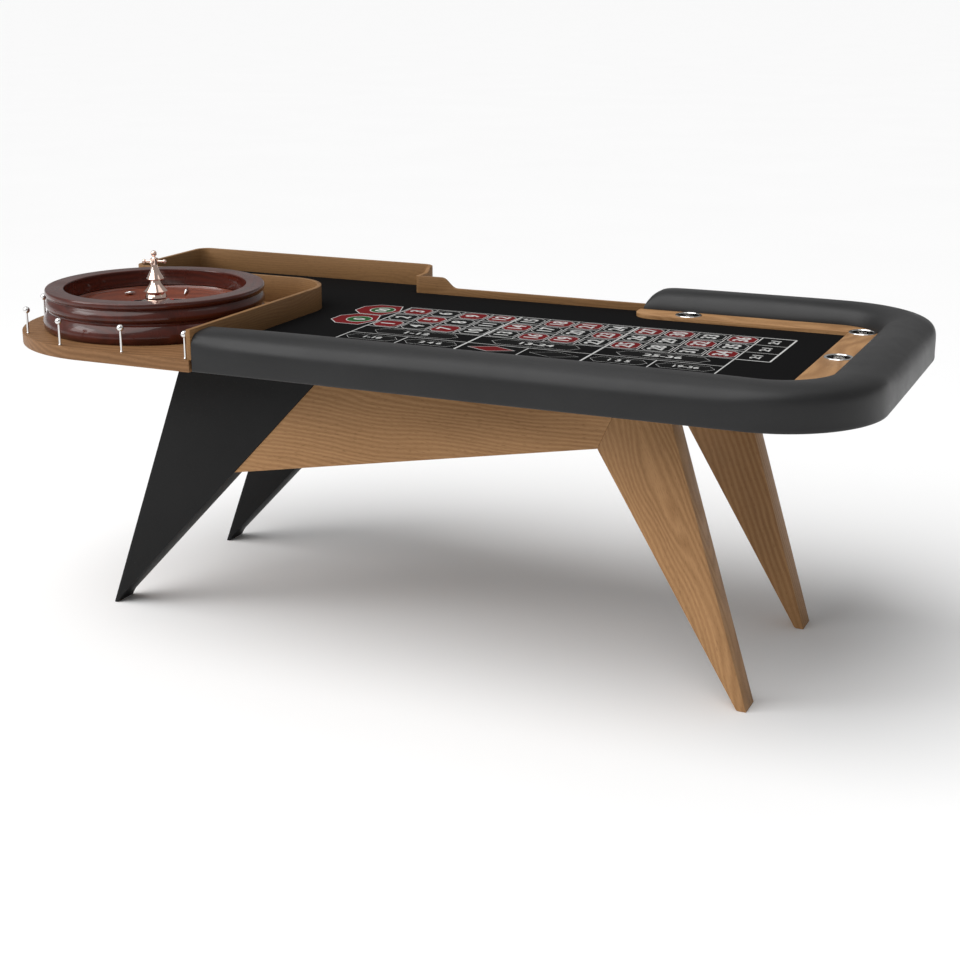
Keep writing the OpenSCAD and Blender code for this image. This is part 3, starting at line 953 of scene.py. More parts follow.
@dataclass(frozen=True)
class LacquerFinish(Finish):
    """Coloured enamel under clear lacquer, for the number band and the pockets.

    Attributes:
        name: Name of the material.
        colour: Colour of the enamel.
    """

    name: str
    colour: Colour

    def wire(self, g: Graph, shader: bpy.types.Node) -> None:
        """Wires the enamel."""
        here = self.own_place(g)
        gloss = self.effect(g, Effect.SMUDGE, Vector=here, Base=0.28, Amount=0.06)
        cloud = g.span(g.noise(here, 60.0, 3.0), 0.3, 0.7, 0.0, 1.0)
        g.feed(shader.inputs["Base Color"], g.mix(cloud, rgba(self.colour, 0.88), rgba(self.colour, 1.12)))
        g.feed(shader.inputs["Roughness"], gloss.outputs["Roughness"])
        g.feed(shader.inputs["Normal"], g.bump(g.noise(here, 500.0, 2.0), 0.2, 0.00003))
        shader.inputs["Coat Weight"].default_value = 0.6
        shader.inputs["Coat Roughness"].default_value = 0.08


@dataclass(frozen=True)
class FloorFinish(Finish):
    """Plain pale studio floor."""

    name: str = "studio_floor"
    colour: Colour = (0.93, 0.93, 0.93)

    def wire(self, g: Graph, shader: bpy.types.Node) -> None:
        """Wires the floor."""
        cloud = g.noise(self.own_place(g), 0.8, 2.0)
        tone = g.mix(g.span(cloud, 0.3, 0.7, 0.0, 1.0), rgba(self.colour, 0.99), rgba(self.colour))
        g.feed(shader.inputs["Base Color"], tone)
        shader.inputs["Roughness"].default_value = 0.9
        shader.inputs["Specular IOR Level"].default_value = 0.1


TEAK = TimberFinish("oiled_teak", (0.430, 0.238, 0.106), (0.275, 0.140, 0.056),
                    (0.115, 0.052, 0.021), rings=26.0, roughness=0.5)
# Painted shade: a darker copy of the teak, for the fence and wall faces that stand in shade.
TEAK_WALL_PAINTED_SHADE = TimberFinish("bent_teak_painted_shade", (0.270, 0.145, 0.060), (0.190, 0.096, 0.037),
                         (0.110, 0.050, 0.020), rings=40.0, roughness=0.5, contrast=0.8)
# Painted shade: a darker copy of the teak, for the platform's edge faces in shade.
TEAK_EDGE_PAINTED_SHADE = TimberFinish("platform_teak_painted_shade", (0.270, 0.140, 0.062), (0.175, 0.085, 0.034),
                         (0.080, 0.036, 0.014), rings=26.0, roughness=0.5)
BOARD = TimberFinish("birch_board", (0.50, 0.36, 0.20), (0.38, 0.25, 0.13),
                     (0.20, 0.12, 0.06), rings=40.0, roughness=0.7, contrast=0.7)
MAHOGANY = TimberFinish("varnished_mahogany", (0.085, 0.013, 0.006), (0.036, 0.0062, 0.0034),
                        (0.020, 0.004, 0.002), rings=22.0, roughness=0.3, coat=0.45,
                        coat_roughness=0.07, relief=0.00004, worn=0.05, contrast=0.9)
TRACK_WOOD = TimberFinish("ball_track_wood", (0.190, 0.040, 0.014), (0.095, 0.018, 0.007),
                          (0.050, 0.010, 0.004), rings=30.0, roughness=0.28, coat=0.7,
                          coat_roughness=0.04, relief=0.00003, worn=0.05, contrast=0.8)
BLACK_PAINT = PaintFinish("black_satin_paint", (0.0050, 0.0050, 0.0052), (0.03, 0.03, 0.03), 0.55)
VINYL = VinylFinish()
CLOTH = ClothFinish("black_wool_cloth", (0.0026, 0.0025, 0.0027), 1.4, 0.002)
INK_WHITE = ClothFinish("white_print", (0.52, 0.52, 0.51), 1.1, 0.01)
INK_RED = ClothFinish("red_print", (0.13, 0.006, 0.008), 1.2, 0.01)
INK_GREEN = ClothFinish("green_print", (0.014, 0.078, 0.020), 1.2, 0.01)
INK_BLACK = ClothFinish("black_print", (0.0034, 0.0034, 0.0034), 1.3, 0.008)
LAYOUT_INKS = (INK_WHITE, INK_RED, INK_BLACK, INK_GREEN)
CHROME = MetalFinish("polished_chrome", (0.80, 0.79, 0.78), 0.09)
NICKEL = MetalFinish("satin_nickel", (0.78, 0.75, 0.71), 0.24, 0.00003)
ROSE_METAL = MetalFinish("rose_plated_brass", (0.88, 0.66, 0.56), 0.07, 0.000008, (0.5, 0.33, 0.26))
ZINC = MetalFinish("zinc_plated_steel", (0.62, 0.64, 0.66), 0.38, 0.00004)
BEARING = MetalFinish("ground_bearing_steel", (0.66, 0.67, 0.68), 0.2, 0.00002)
BAND_RED = LacquerFinish("band_red", (0.33, 0.010, 0.010))
BAND_BLACK = LacquerFinish("band_black", (0.008, 0.008, 0.009))
BAND_GREEN = LacquerFinish("band_green", (0.010, 0.16, 0.035))
BAND_CREAM = LacquerFinish("band_cream", (0.80, 0.74, 0.60))
POCKET_FINISHES = {Pocket.RED: BAND_RED, Pocket.BLACK: BAND_BLACK, Pocket.GREEN: BAND_GREEN}


# ---- side frames and the beams between them ----


@dataclass
class SideFrames:
    """The painted wedge legs, the tapered teak legs and the aprons."""

    ease: float = 0.0016
    paint_ease: float = 0.0022
    leg_lean: Point3 = (0.36, 0.0, -0.93)

    def build(self) -> None:
        """Makes and dresses both side frames and what joins them."""
        for side, shift in (("front", 0.0), ("back", 3.1)):
            painted = eased(f"left_leg_{side}", f"wedge_leg_{side}", self.paint_ease)
            settle(painted, [BLACK_PAINT])
            leg = eased(f"right_leg_{side}", f"tapered_leg_{side}", self.ease)
            lay_grain(leg, GrainAxis(self.leg_lean, (0, 1, 0), 0.9 + shift))
            settle(leg, [TEAK])
            apron = eased(f"apron_{side}", f"apron_board_{side}", self.ease)
            lay_grain(apron, GrainAxis((1, 0, -0.02), (0, 1, 0), 2.2 + shift))
            settle(apron, [TEAK])
        for index, place in enumerate(("left", "centre", "right")):
            beam = eased(f"cross_beam_{place}", f"beam_{place}", 0.002)
            lay_grain(beam, GrainAxis((0, 1, 0), (1, 0, 0), 5.0 + index))
            settle(beam, [TEAK])
        for node, name in (("corner_brackets", "steel_angles"), ("deck_bolts", "hex_bolts")):
            settle(eased(node, name, 0.0006), [ZINC])


# ---- table top ----


@dataclass
class TableTop:
    """The deck, the wheel's platform, the playing board and the fences."""

    ease: float = 0.0014
    bend: float = 0.042
    bay_bend: float = 0.150
    half_fence: float = 0.0065

    def arc(self, centre: Point2, start: float, radius: float) -> list[Point2]:
        """Points round a quarter bend, from an angle in degrees."""
        steps = [math.radians(start - 90 * i / 12) for i in range(13)]
        return [(centre[0] + radius * math.cos(a), centre[1] + radius * math.sin(a)) for a in steps]

    def boards(self) -> None:
        """The deck, the platform and the board under the cloth."""
        deck = eased("deck_panel", "deck_board", self.ease)
        settle(deck, [BLACK_PAINT])
        platform = eased("wheel_platform", "wheel_shelf", 0.0022, 3)
        lay_grain(platform, GrainAxis((1, 0.04, 0), (0, 0, 1), 1.7))
        # The platform takes the darker teak copy, which paints its shade into the colour.
        settle(platform, [TEAK_EDGE_PAINTED_SHADE])
        for node, name, shift in (
            ("play_board", "playing_board", 4.0),
            ("armrest_core", "armrest_board", 6.0),
        ):
            board = eased(node, name, 0.0008)
            lay_grain(board, GrainAxis((1, 0, 0), (0, 0, 1), shift))
            settle(board, [BOARD])

    def walls(self) -> None:
        """The bent fences round the wheel's bay and the croupier's side."""
        fence_low, fence_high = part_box("wheel_fence")
        wall_low, wall_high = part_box("back_wall")
        r = self.bend - self.half_fence
        right, rear = fence_high.x - self.half_fence, fence_high.y - self.half_fence
        turn = (fence_high.x - self.bay_bend, fence_high.y - self.bay_bend)
        fence_line = [(right, fence_low.y)]
        fence_line += list(reversed(self.arc(turn, 90, self.bay_bend - self.half_fence)))
        fence_line += [(fence_low.x, rear)]
        end = wall_high.x - self.half_fence
        lower = (wall_low.x + self.bend, wall_low.y + self.bend)
        corner = (wall_low.x + self.bend, wall_high.y - self.bend)
        far = (wall_high.x - self.bend, wall_high.y - self.bend)
        wall_line = self.arc(lower, 270, r)
        wall_line += self.arc(corner, 180, r) + self.arc(far, 90, r)
        wall_line += [(end, 0.466)]
        low_low, low_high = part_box("low_wall")
        low_line = [(low_low.x + self.half_fence, low_high.y), (low_low.x + 0.011, low_low.y + 0.0075),
                    (low_high.x, low_low.y + self.half_fence)]
        for node, name, line, shift in (
            ("wheel_fence", "bay_fence", fence_line, 0.4),
            ("back_wall", "tall_wall", wall_line, 2.6),
            ("low_wall", "croupier_wall", low_line, 5.3),
        ):
            wall = eased(node, name, self.ease)
            lay_grain(wall, GrainLine(tuple(line), shift))
            # The walls take the darker teak copy, which paints their shade into the colour.
            settle(wall, [TEAK_WALL_PAINTED_SHADE])

    def racetrack(self) -> None:
        """The wooden strip that carries the cups."""
        low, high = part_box("racetrack")
        mid = 0.044
        line = ((low.x, high.y - mid), (high.x - mid, high.y - mid), (high.x - mid, low.y))
        strip = eased("racetrack", "racetrack_strip", 0.0018, 3)
        lay_grain(strip, GrainLine(line, 7.4))
        settle(strip, [TEAK])

    def build(self) -> None:
        """Makes and dresses the whole top."""
        self.boards()
        self.walls()
        self.racetrack()


# ---- padded armrest ----


@dataclass
class Armrest:
    """The padded armrest: vinyl drawn over foam along the player's side.

    The skin starts a little inside its solid, is blown up by cloth pressure
    with its hidden edges held, and is then capped and smoothed.
    """

    width: float = 0.152
    rise: float = 0.108
    shoulder: float = 0.062
    corner: float = 0.285
    nose: float = 0.066
    pitch: float = 0.013
    shrink: float = 0.0028
    cap: float = 0.0045
    frames: int = 20
    pressure: float = 4.0
    under: float = 0.0247
    foot: float = 0.0117

    def profile(self) -> list[Point2]:
        """The section, inward from the outer face and up from the underside."""
        w, top, s = self.width, self.rise, self.shrink
        under, foot = self.under, w - self.foot
        deck, core, track = 0.0323, 0.0603, 0.056
        line: list[Point2] = [(0.006, 0.0), (s * 0.5, 0.004)]
        line += [(s, z) for z in (0.013, 0.026, 0.039, 0.051)] + [(s, self.shoulder)]
        line += cubic((s, self.shoulder), (s, top - 0.003 - s), (0.030, top - s), (0.090, top - s), 12)
        line += cubic((0.090, top - s), (0.126, top - s),
                      (w - 0.002 - s, top - 0.022), (w - s * 0.4, track), 11)
        line += [(w - 0.0006, 0.047), (w - 0.0004, 0.0395), (w, deck),
                 (foot, deck), (foot, 0.046), (foot, core)]
        step = (foot - under) / 8
        line += [(foot - step * i, core) for i in range(1, 9)]
        line += [(under, 0.045), (under, 0.03), (under, 0.015), (under, 0.0)]
        return line

    def stations(self) -> list[tuple[Vector, Vector, float]]:
        """Places along the outer edge, from the bay round to the free end.

        Returns:
            Outer point, inward direction and height share above the shoulder.
        """
        low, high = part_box("armrest_pad")
        r = self.corner
        places: list[tuple[Vector, Vector, float]] = []

        def run(x0: float, y0: float, x1: float, y1: float, inward: Point2) -> None:
            """Adds a straight run, without its last place."""
            count = max(2, round(math.hypot(x1 - x0, y1 - y0) / self.pitch))
            for i in range(count):
                t = i / count
                places.append((Vector((x0 + (x1 - x0) * t, y0 + (y1 - y0) * t)), Vector(inward), 1.0))

        def turn(cx: float, cy: float, start: float) -> None:
            """Adds a quarter turn, without its last place."""
            count = 34
            for i in range(count):
                a = math.radians(start + 90 * i / count)
                out = Vector((math.cos(a), math.sin(a)))
                places.append((Vector((cx, cy)) + out * r, -out, 1.0))

        right, front, back = high.x, low.y, high.y
        places.append((Vector((low.x, front)), Vector((0, 1)), 1.0))
        places.append((Vector((low.x + 0.0025, front)), Vector((0, 1)), 1.0))
        run(low.x + 0.007, front, right - r, front, (0, 1))
        turn(right - r, front + r, -90)
        run(right, front + r, right, back - r, (-1, 0))
        turn(right - r, back - r, 0)
        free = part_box("racetrack")[0].x + 0.008
        run(right - r, back, free + self.nose, back, (0, -1))
        nose = [(self.nose, 1.0)] + [
            (x, max(0.0, (z - self.shoulder) / (self.rise - self.shoulder)))
            for x, z in cubic((self.nose, self.rise), (self.nose * 0.4, self.rise),
                              (0.0, self.rise - 0.014), (0.0006, self.shoulder + 0.004), 12)
        ]
        for x, share in nose:
            places.append((Vector((free + x, back)), Vector((0, -1)), share))
        return places

    def skin(self) -> Thing:
        """The closed skin before it is blown up."""
        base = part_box("armrest_pad")[0].z
        section, places = self.profile(), self.stations()
        points: list[Point3] = []
        for place, inward, share in places:
            for u, z in section:
                if z > self.shoulder:
                    z = self.shoulder + (z - self.shoulder) * share
                at = place + inward * u
                points.append((at.x, at.y, base + z))
        n, m = len(section), len(places)
        faces = [
            (i * n + j, i * n + (j + 1) % n, (i + 1) * n + (j + 1) % n, (i + 1) * n + j)
            for i in range(m - 1) for j in range(n)
        ]
        mesh = bpy.data.meshes.new("armrest_skin")
        mesh.from_pydata(points, [], faces)
        thing = bpy.data.objects.new("armrest_cushion", mesh)
        bpy.context.scene.collection.objects.link(thing)
        for first in (0, (m - 1) * n):
            loop = set(range(first, first + n))
            for edge in thing.data.edges:
                edge.select = set(edge.vertices) <= loop
            for vertex in thing.data.vertices:
                vertex.select = vertex.index in loop
            for face in thing.data.polygons:
                face.select = False
            with editing(thing, "EDGE"):
                bpy.ops.mesh.edge_face_add()
                bpy.ops.mesh.inset(thickness=0.004)
        with editing(thing):
            bpy.ops.mesh.select_all(action="SELECT")
            bpy.ops.mesh.normals_make_consistent(inside=False)
        return thing

    def held(self, thing: Thing) -> bpy.types.VertexGroup:
        """Names the points that are stapled down under the armrest and at its foot."""
        low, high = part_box("armrest_pad")
        base = low.z
        group = thing.vertex_groups.new(name="stapled")
        firm = []
        for vertex in thing.data.vertices:
            x, y, z = vertex.co
            under = z < base + 0.0335
            top_free = z > base + 0.0615
            side = abs(abs(y) - high.y) < 0.006 or x > high.x - 0.006
            if (under and not side) or z < base + 0.006 or not (top_free or self.outside(vertex.co)):
                firm.append(vertex.index)
            elif x < low.x + 0.008:
                firm.append(vertex.index)
        group.add(firm, 1.0, "REPLACE")
        return group

    def outside(self, place: Vector) -> bool:
        """True if a place is on the outer face or the inner foot of the armrest."""
        return self.depth_of(place) < 0.008

    def depth_of(self, place: Vector) -> float:
        """How far a place is inside the armrest's outer edge."""
        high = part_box("armrest_pad")[1]
        cx, cy = high.x - self.corner, high.y - self.corner
        dx, dy = place.x - cx, abs(place.y) - cy
        if dx > 0 and dy > 0:
            return self.corner - math.hypot(dx, dy)
        return min(high.x - place.x, high.y - abs(place.y))

    def blow_up(self, thing: Thing) -> None:
        """Fills the skin by cloth pressure, capped, with its hidden edges held."""
        group = self.held(thing)
        count = len(thing.data.vertices)
        rest = np.zeros(count * 3)
        thing.data.vertices.foreach_get("co", rest)
        cloth = thing.modifiers.new("Stuffing", "CLOTH")
        settings = cloth.settings
        settings.quality = 5
        settings.mass = 0.4
        settings.tension_stiffness = settings.compression_stiffness = 25
        settings.shear_stiffness = 10
        settings.bending_stiffness = 4.0
        settings.use_pressure = True
        settings.uniform_pressure_force = self.pressure
        settings.vertex_group_mass = group.name
        settings.effector_weights.gravity = 0.0
        cloth.point_cache.frame_start, cloth.point_cache.frame_end = 1, self.frames
        scene = bpy.context.scene
        for number in range(1, self.frames + 1):
            scene.frame_set(number)
        shape = thing.evaluated_get(bpy.context.evaluated_depsgraph_get()).to_mesh()
        blown = np.zeros(count * 3)
        shape.vertices.foreach_get("co", blown)
        thing.to_mesh_clear()
        thing.modifiers.remove(cloth)
        scene.frame_set(1)
        move = (blown - rest).reshape(-1, 3)
        far = np.maximum(np.linalg.norm(move, axis=1, keepdims=True), 1e-9)
        move *= self.cap * np.tanh(far / self.cap) / far
        thing.data.vertices.foreach_set("co", (rest.reshape(-1, 3) + move).ravel())
        thing.data.update()
        LOG.info("armrest skin moved at most %.1f mm", 1000 * float(far.max()))

    def build(self) -> None:
        thing = self.skin()
        self.blow_up(thing)
        thing.vertex_groups.clear()
        apply_modifier(thing, "SUBSURF", levels=1, render_levels=1)
        smooth(thing, math.radians(50))
        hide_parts("armrest_pad")
        settle(thing, [VINYL])


# ---- layout cloth and its print ----


@dataclass
class LayoutCloth:
    """The cloth on the playing bed, with the betting layout printed on it."""

    column_x: float = -0.272
    column: float = 0.0891
    row_y: float = -0.056
    row: float = 0.0966
    band: float = 0.093
    columns: int = 12
    line: float = 0.0026
    bold_line: float = 0.0058
    ink: float = 0.00022
    grid: float = 0.024
    places: list[Thing] = field(default_factory=list)
    area: float = 0.0

    @property
    def top(self) -> float:
        """Height of the cloth's upper face."""
        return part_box("layout_cloth")[1].z

    def cut_cloth(self) -> Thing:
        """The cloth, cut to the bed and laid flat."""
        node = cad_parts["layout_cloth"]
        low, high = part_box("layout_cloth")
        thing = bpy.data.objects.new("layout_sheet", node.data.copy())
        bpy.context.scene.collection.objects.link(thing)
        thing.data.materials.clear()
        with editing(thing, "VERT"):
            bpy.ops.mesh.customdata_custom_splitnormals_clear()
            bpy.ops.mesh.select_all(action="SELECT")
            bpy.ops.mesh.remove_doubles(threshold=MERGE_GAP)
        pick_faces(thing, lambda face: face.normal.z < 0.9)
        with editing(thing):
            bpy.ops.mesh.delete(type="FACE")
            bpy.ops.mesh.select_all(action="SELECT")
            bpy.ops.mesh.dissolve_limited(angle_limit=math.radians(1))
            for axis in (0, 1):
                normal = tuple(float(axis == k) for k in range(3))
                count = math.ceil((high[axis] - low[axis]) / self.grid)
                for i in range(1, count):
                    cut = Vector(low)
                    cut[axis] += i * (high[axis] - low[axis]) / count
                    bpy.ops.mesh.select_all(action="SELECT")
                    bpy.ops.mesh.bisect(plane_co=cut, plane_no=normal)
        self.area = sum(face.area for face in thing.data.polygons)
        apply_modifier(thing, "SOLIDIFY", thickness=high.z - low.z - 0.0002, offset=-1)
        apply_modifier(thing, "BEVEL", width=0.0008, segments=2, limit_method="ANGLE",
                       angle_limit=math.radians(60))
        smooth(thing)
        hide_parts("layout_cloth")
        return settle(thing, [CLOTH])

    def rectangles(self, name: str, boxes: Sequence[tuple[float, float, float, float]]) -> Thing:
        """Many flat rectangles in one mesh.

        Args:
            name: Name of the thing.
            boxes: Low and high X and Y of each.

        Returns:
            The thing, lying on the cloth.
        """
        select_only()
        for index, (x0, y0, x1, y1) in enumerate(boxes):
            centre = ((x0 + x1) / 2, (y0 + y1) / 2, self.top)
            bpy.ops.mesh.primitive_plane_add(size=1, location=centre)
            if index == 0:
                thing = bpy.context.object
                thing.data.transform(Matrix.Translation(centre))
                thing.matrix_world = Matrix.Identity(4)
                bpy.ops.object.mode_set(mode="EDIT")
                bpy.ops.mesh.select_all(action="SELECT")
            bpy.ops.transform.resize(value=(x1 - x0, y1 - y0, 1), center_override=centre)
        bpy.ops.object.mode_set(mode="OBJECT")
        thing.name = name
        return thing

    def tile(self, name: str, outline: Sequence[Point2], border: float, fill: int) -> Thing:
        """A printed shape with a white border round its fill.

        Args:
            name: Name of the shape.
            outline: Its corners about the origin, anticlockwise.
            border: Width of the border.
            fill: Material index of the fill.

        Returns:
            The shape, flat at the height of the cloth.
        """
        thing = outline_loop(name, [(x, y, self.top) for x, y in outline], True)
        if border:
            with editing(thing):
                bpy.ops.mesh.select_all(action="SELECT")
                bpy.ops.mesh.inset(thickness=border)
        centre = min(thing.data.polygons, key=lambda face: (face.center.xy.length, -face.area))
        for finish in LAYOUT_INKS:
            thing.data.materials.append(finish.material())
        centre.material_index = fill
        return thing

    def box_outline(self, half_x: float, half_y: float, cut_x: float, cut_y: float) -> list[Point2]:
        """A rectangle about the origin with its corners cut off."""
        return [
            (half_x, -half_y + cut_y), (half_x, half_y - cut_y), (half_x - cut_x, half_y),
            (-half_x + cut_x, half_y), (-half_x, half_y - cut_y), (-half_x, -half_y + cut_y),
            (-half_x + cut_x, -half_y), (half_x - cut_x, -half_y),
        ]

    def put(self, shape: Thing, x: float, y: float, lift: float = 0.0) -> None:
        """Prints a copy of a shape at a place."""
        self.places.append(copied(shape, Matrix.Translation((x, y, lift))))

    def cell(self, column: int, row: int) -> Point2:
        """Middle of a number's cell."""
        return (self.column_x + (column + 0.5) * self.column, self.row_y + (row + 0.5) * self.row)

    def print_lines(self) -> Thing:
        """The white lines of the grid."""
        half, bold = self.line / 2, self.bold_line / 2
        x0 = self.column_x
        x1 = x0 + self.columns * self.column
        x2 = x1 + self.column * 1.04
        y0, y3 = self.row_y, self.row_y + 3 * self.row
        dozen, outside = y0 - self.band, y0 - 2 * self.band
        boxes = []
        for k in range(4):
            y = y0 + k * self.row
            boxes.append((x0, y - half, x1, y + half))
        for y in (dozen, outside):
            boxes.append((x0, y - half, x1, y + half))
        for column in range(self.columns + 1):
            x = x0 + column * self.column
            wide = bold if column in (4, 8) else half * 1.4 if column in (0, 12) else half
            stop = outside if column in (0, 4, 8, 12) else y0
            boxes.append((x - wide, stop, x + wide, y3))
            if column in (2, 6, 10):
                boxes.append((x - half * 1.3, outside, x + half * 1.3, dozen))
        for k in range(4):
            y = y0 + k * self.row
            thick = half * 1.9 if k in (0, 3) else half
            boxes.append((x1, y - thick, x2, y + thick))
        boxes.append((x2 - half * 1.9, y0, x2 + half * 1.9, y3))
        return self.rectangles("layout_lines", boxes)

    def print_tiles(self) -> Thing:
        """The coloured cells, the brackets round the outside bets and the diamonds."""
        cell = self.box_outline(0.0385, 0.0405, 0.016, 0.017)
        shapes = {
            Pocket.RED: self.tile("cell_red", cell, 0.0022, 1),
            Pocket.BLACK: self.tile("cell_black", cell, 0.0020, 2),
        }
        for number in range(1, 37):
            column, row = divmod(number - 1, 3)
            self.put(shapes[pocket_of(str(number))], *self.cell(column, row))
        half = 0.0715
        zero = [(0.022, -half), (0.047, 0.0), (0.022, half), (-0.052, half), (-0.088, half * 0.42),
                (-0.088, -half * 0.42), (-0.052, -half)]
        red = self.tile("zero_field", zero, 0.0028, 1)
        inner = [(0.038 * math.cos(turn), 0.041 * math.sin(turn))
                 for turn in np.linspace(0.0, FULL_TURN, 28, endpoint=False)]
        green = self.tile("zero_heart", inner, 0.0030, 3)
        for y in self.zero_rows():
            self.put(red, self.column_x - 0.051, y)
            self.put(green, self.column_x - 0.062, y, self.ink)
        bracket = self.tile("long_bracket", [(0.128, 0.0), (0.104, 0.031), (-0.104, 0.031),
                                             (-0.128, 0.0), (-0.104, -0.031), (0.104, -0.031)], 0.0011, 2)
        short = self.tile("short_bracket", [(0.078, 0.0), (0.058, 0.028), (-0.058, 0.028),
                                            (-0.078, 0.0), (-0.058, -0.028), (0.058, -0.028)], 0.0010, 2)
        rhomb = [(0.070, 0.0), (0.0, 0.033), (-0.070, 0.0), (0.0, -0.033)]
        diamonds = (self.tile("diamond_red", rhomb, 0.0022, 1), self.tile("diamond_black", rhomb, 0.0008, 2))
        dozen_y, out_y = self.row_y - self.band / 2, self.row_y - 1.5 * self.band
        for third in range(3):
            self.put(bracket, self.column_x + (third * 4 + 2) * self.column, dozen_y)
        for pair in range(6):
            x = self.column_x + (pair * 2 + 1) * self.column
            self.put(diamonds[pair - 2] if pair in (2, 3) else short, x, out_y)
        masters = [*shapes.values(), red, green, bracket, short, *diamonds]
        for master in masters:
            bpy.data.objects.remove(master)
        return merged("layout_tiles", self.places)

    def zero_rows(self) -> tuple[float, float]:
        """Middle heights, in plan, of the zero and the double zero."""
        middle = self.row_y + 1.5 * self.row
        return (middle - 0.0735, middle + 0.0735)

    def print_numbers(self) -> Thing:
        """All the numbers of the layout, their tops towards the zeros."""
        quarter = Matrix.Rotation(math.pi / 2, 4, "Z")
        made: list[Thing] = []

        def write(label: str, x: float, y: float, height: float, stretch: float, turned_up: bool) -> None:
            """Prints one number."""
            thing = numeral(label, height, stretch, 0.030, self.ink)
            turn = quarter if turned_up else Matrix.Identity(4)
            thing.data.transform(Matrix.Translation((x, y, self.top + self.ink * 2.4)) @ turn)
            made.append(thing)

        for number in range(1, 37):
            column, row = divmod(number - 1, 3)
            write(str(number), *self.cell(column, row), 0.043, 0.95, True)
        for label, y in zip(("0", "00"), self.zero_rows()):
            write(label, self.column_x - 0.060, y, 0.036, 0.95, True)
        for third, label in enumerate(("1-12", "13-24", "25-36")):
            write(label, self.column_x + (third * 4 + 2) * self.column,
                  self.row_y - self.band / 2, 0.026, 1.25, False)
        out_y = self.row_y - 1.5 * self.band
        for pair, label in ((0, "1-18"), (1, "2 4 6"), (4, "1 3 5"), (5, "19-36")):
            write(label, self.column_x + (pair * 2 + 1) * self.column, out_y, 0.022, 1.05, False)
        for row in range(3):
            x = self.column_x + self.columns * self.column + self.column * 0.52
            write("2:1", x, self.row_y + (row + 0.5) * self.row, 0.028, 1.05, True)
        return merged("layout_numerals", made)

    def build(self) -> None:
        sheet = self.cut_cloth()
        lines, tiles, numbers = self.print_lines(), self.print_tiles(), self.print_numbers()
        lines.data.transform(Matrix.Translation((0, 0, self.ink)))
        tiles.data.transform(Matrix.Translation((0, 0, self.ink * 0.8)))
        for part in (lines, tiles):
            apply_modifier(part, "SOLIDIFY", thickness=self.ink * 0.7, offset=-1)
        settle(lines, [INK_WHITE])
        settle(tiles, LAYOUT_INKS)
        settle(numbers, [INK_WHITE])


# ---- wheel ----


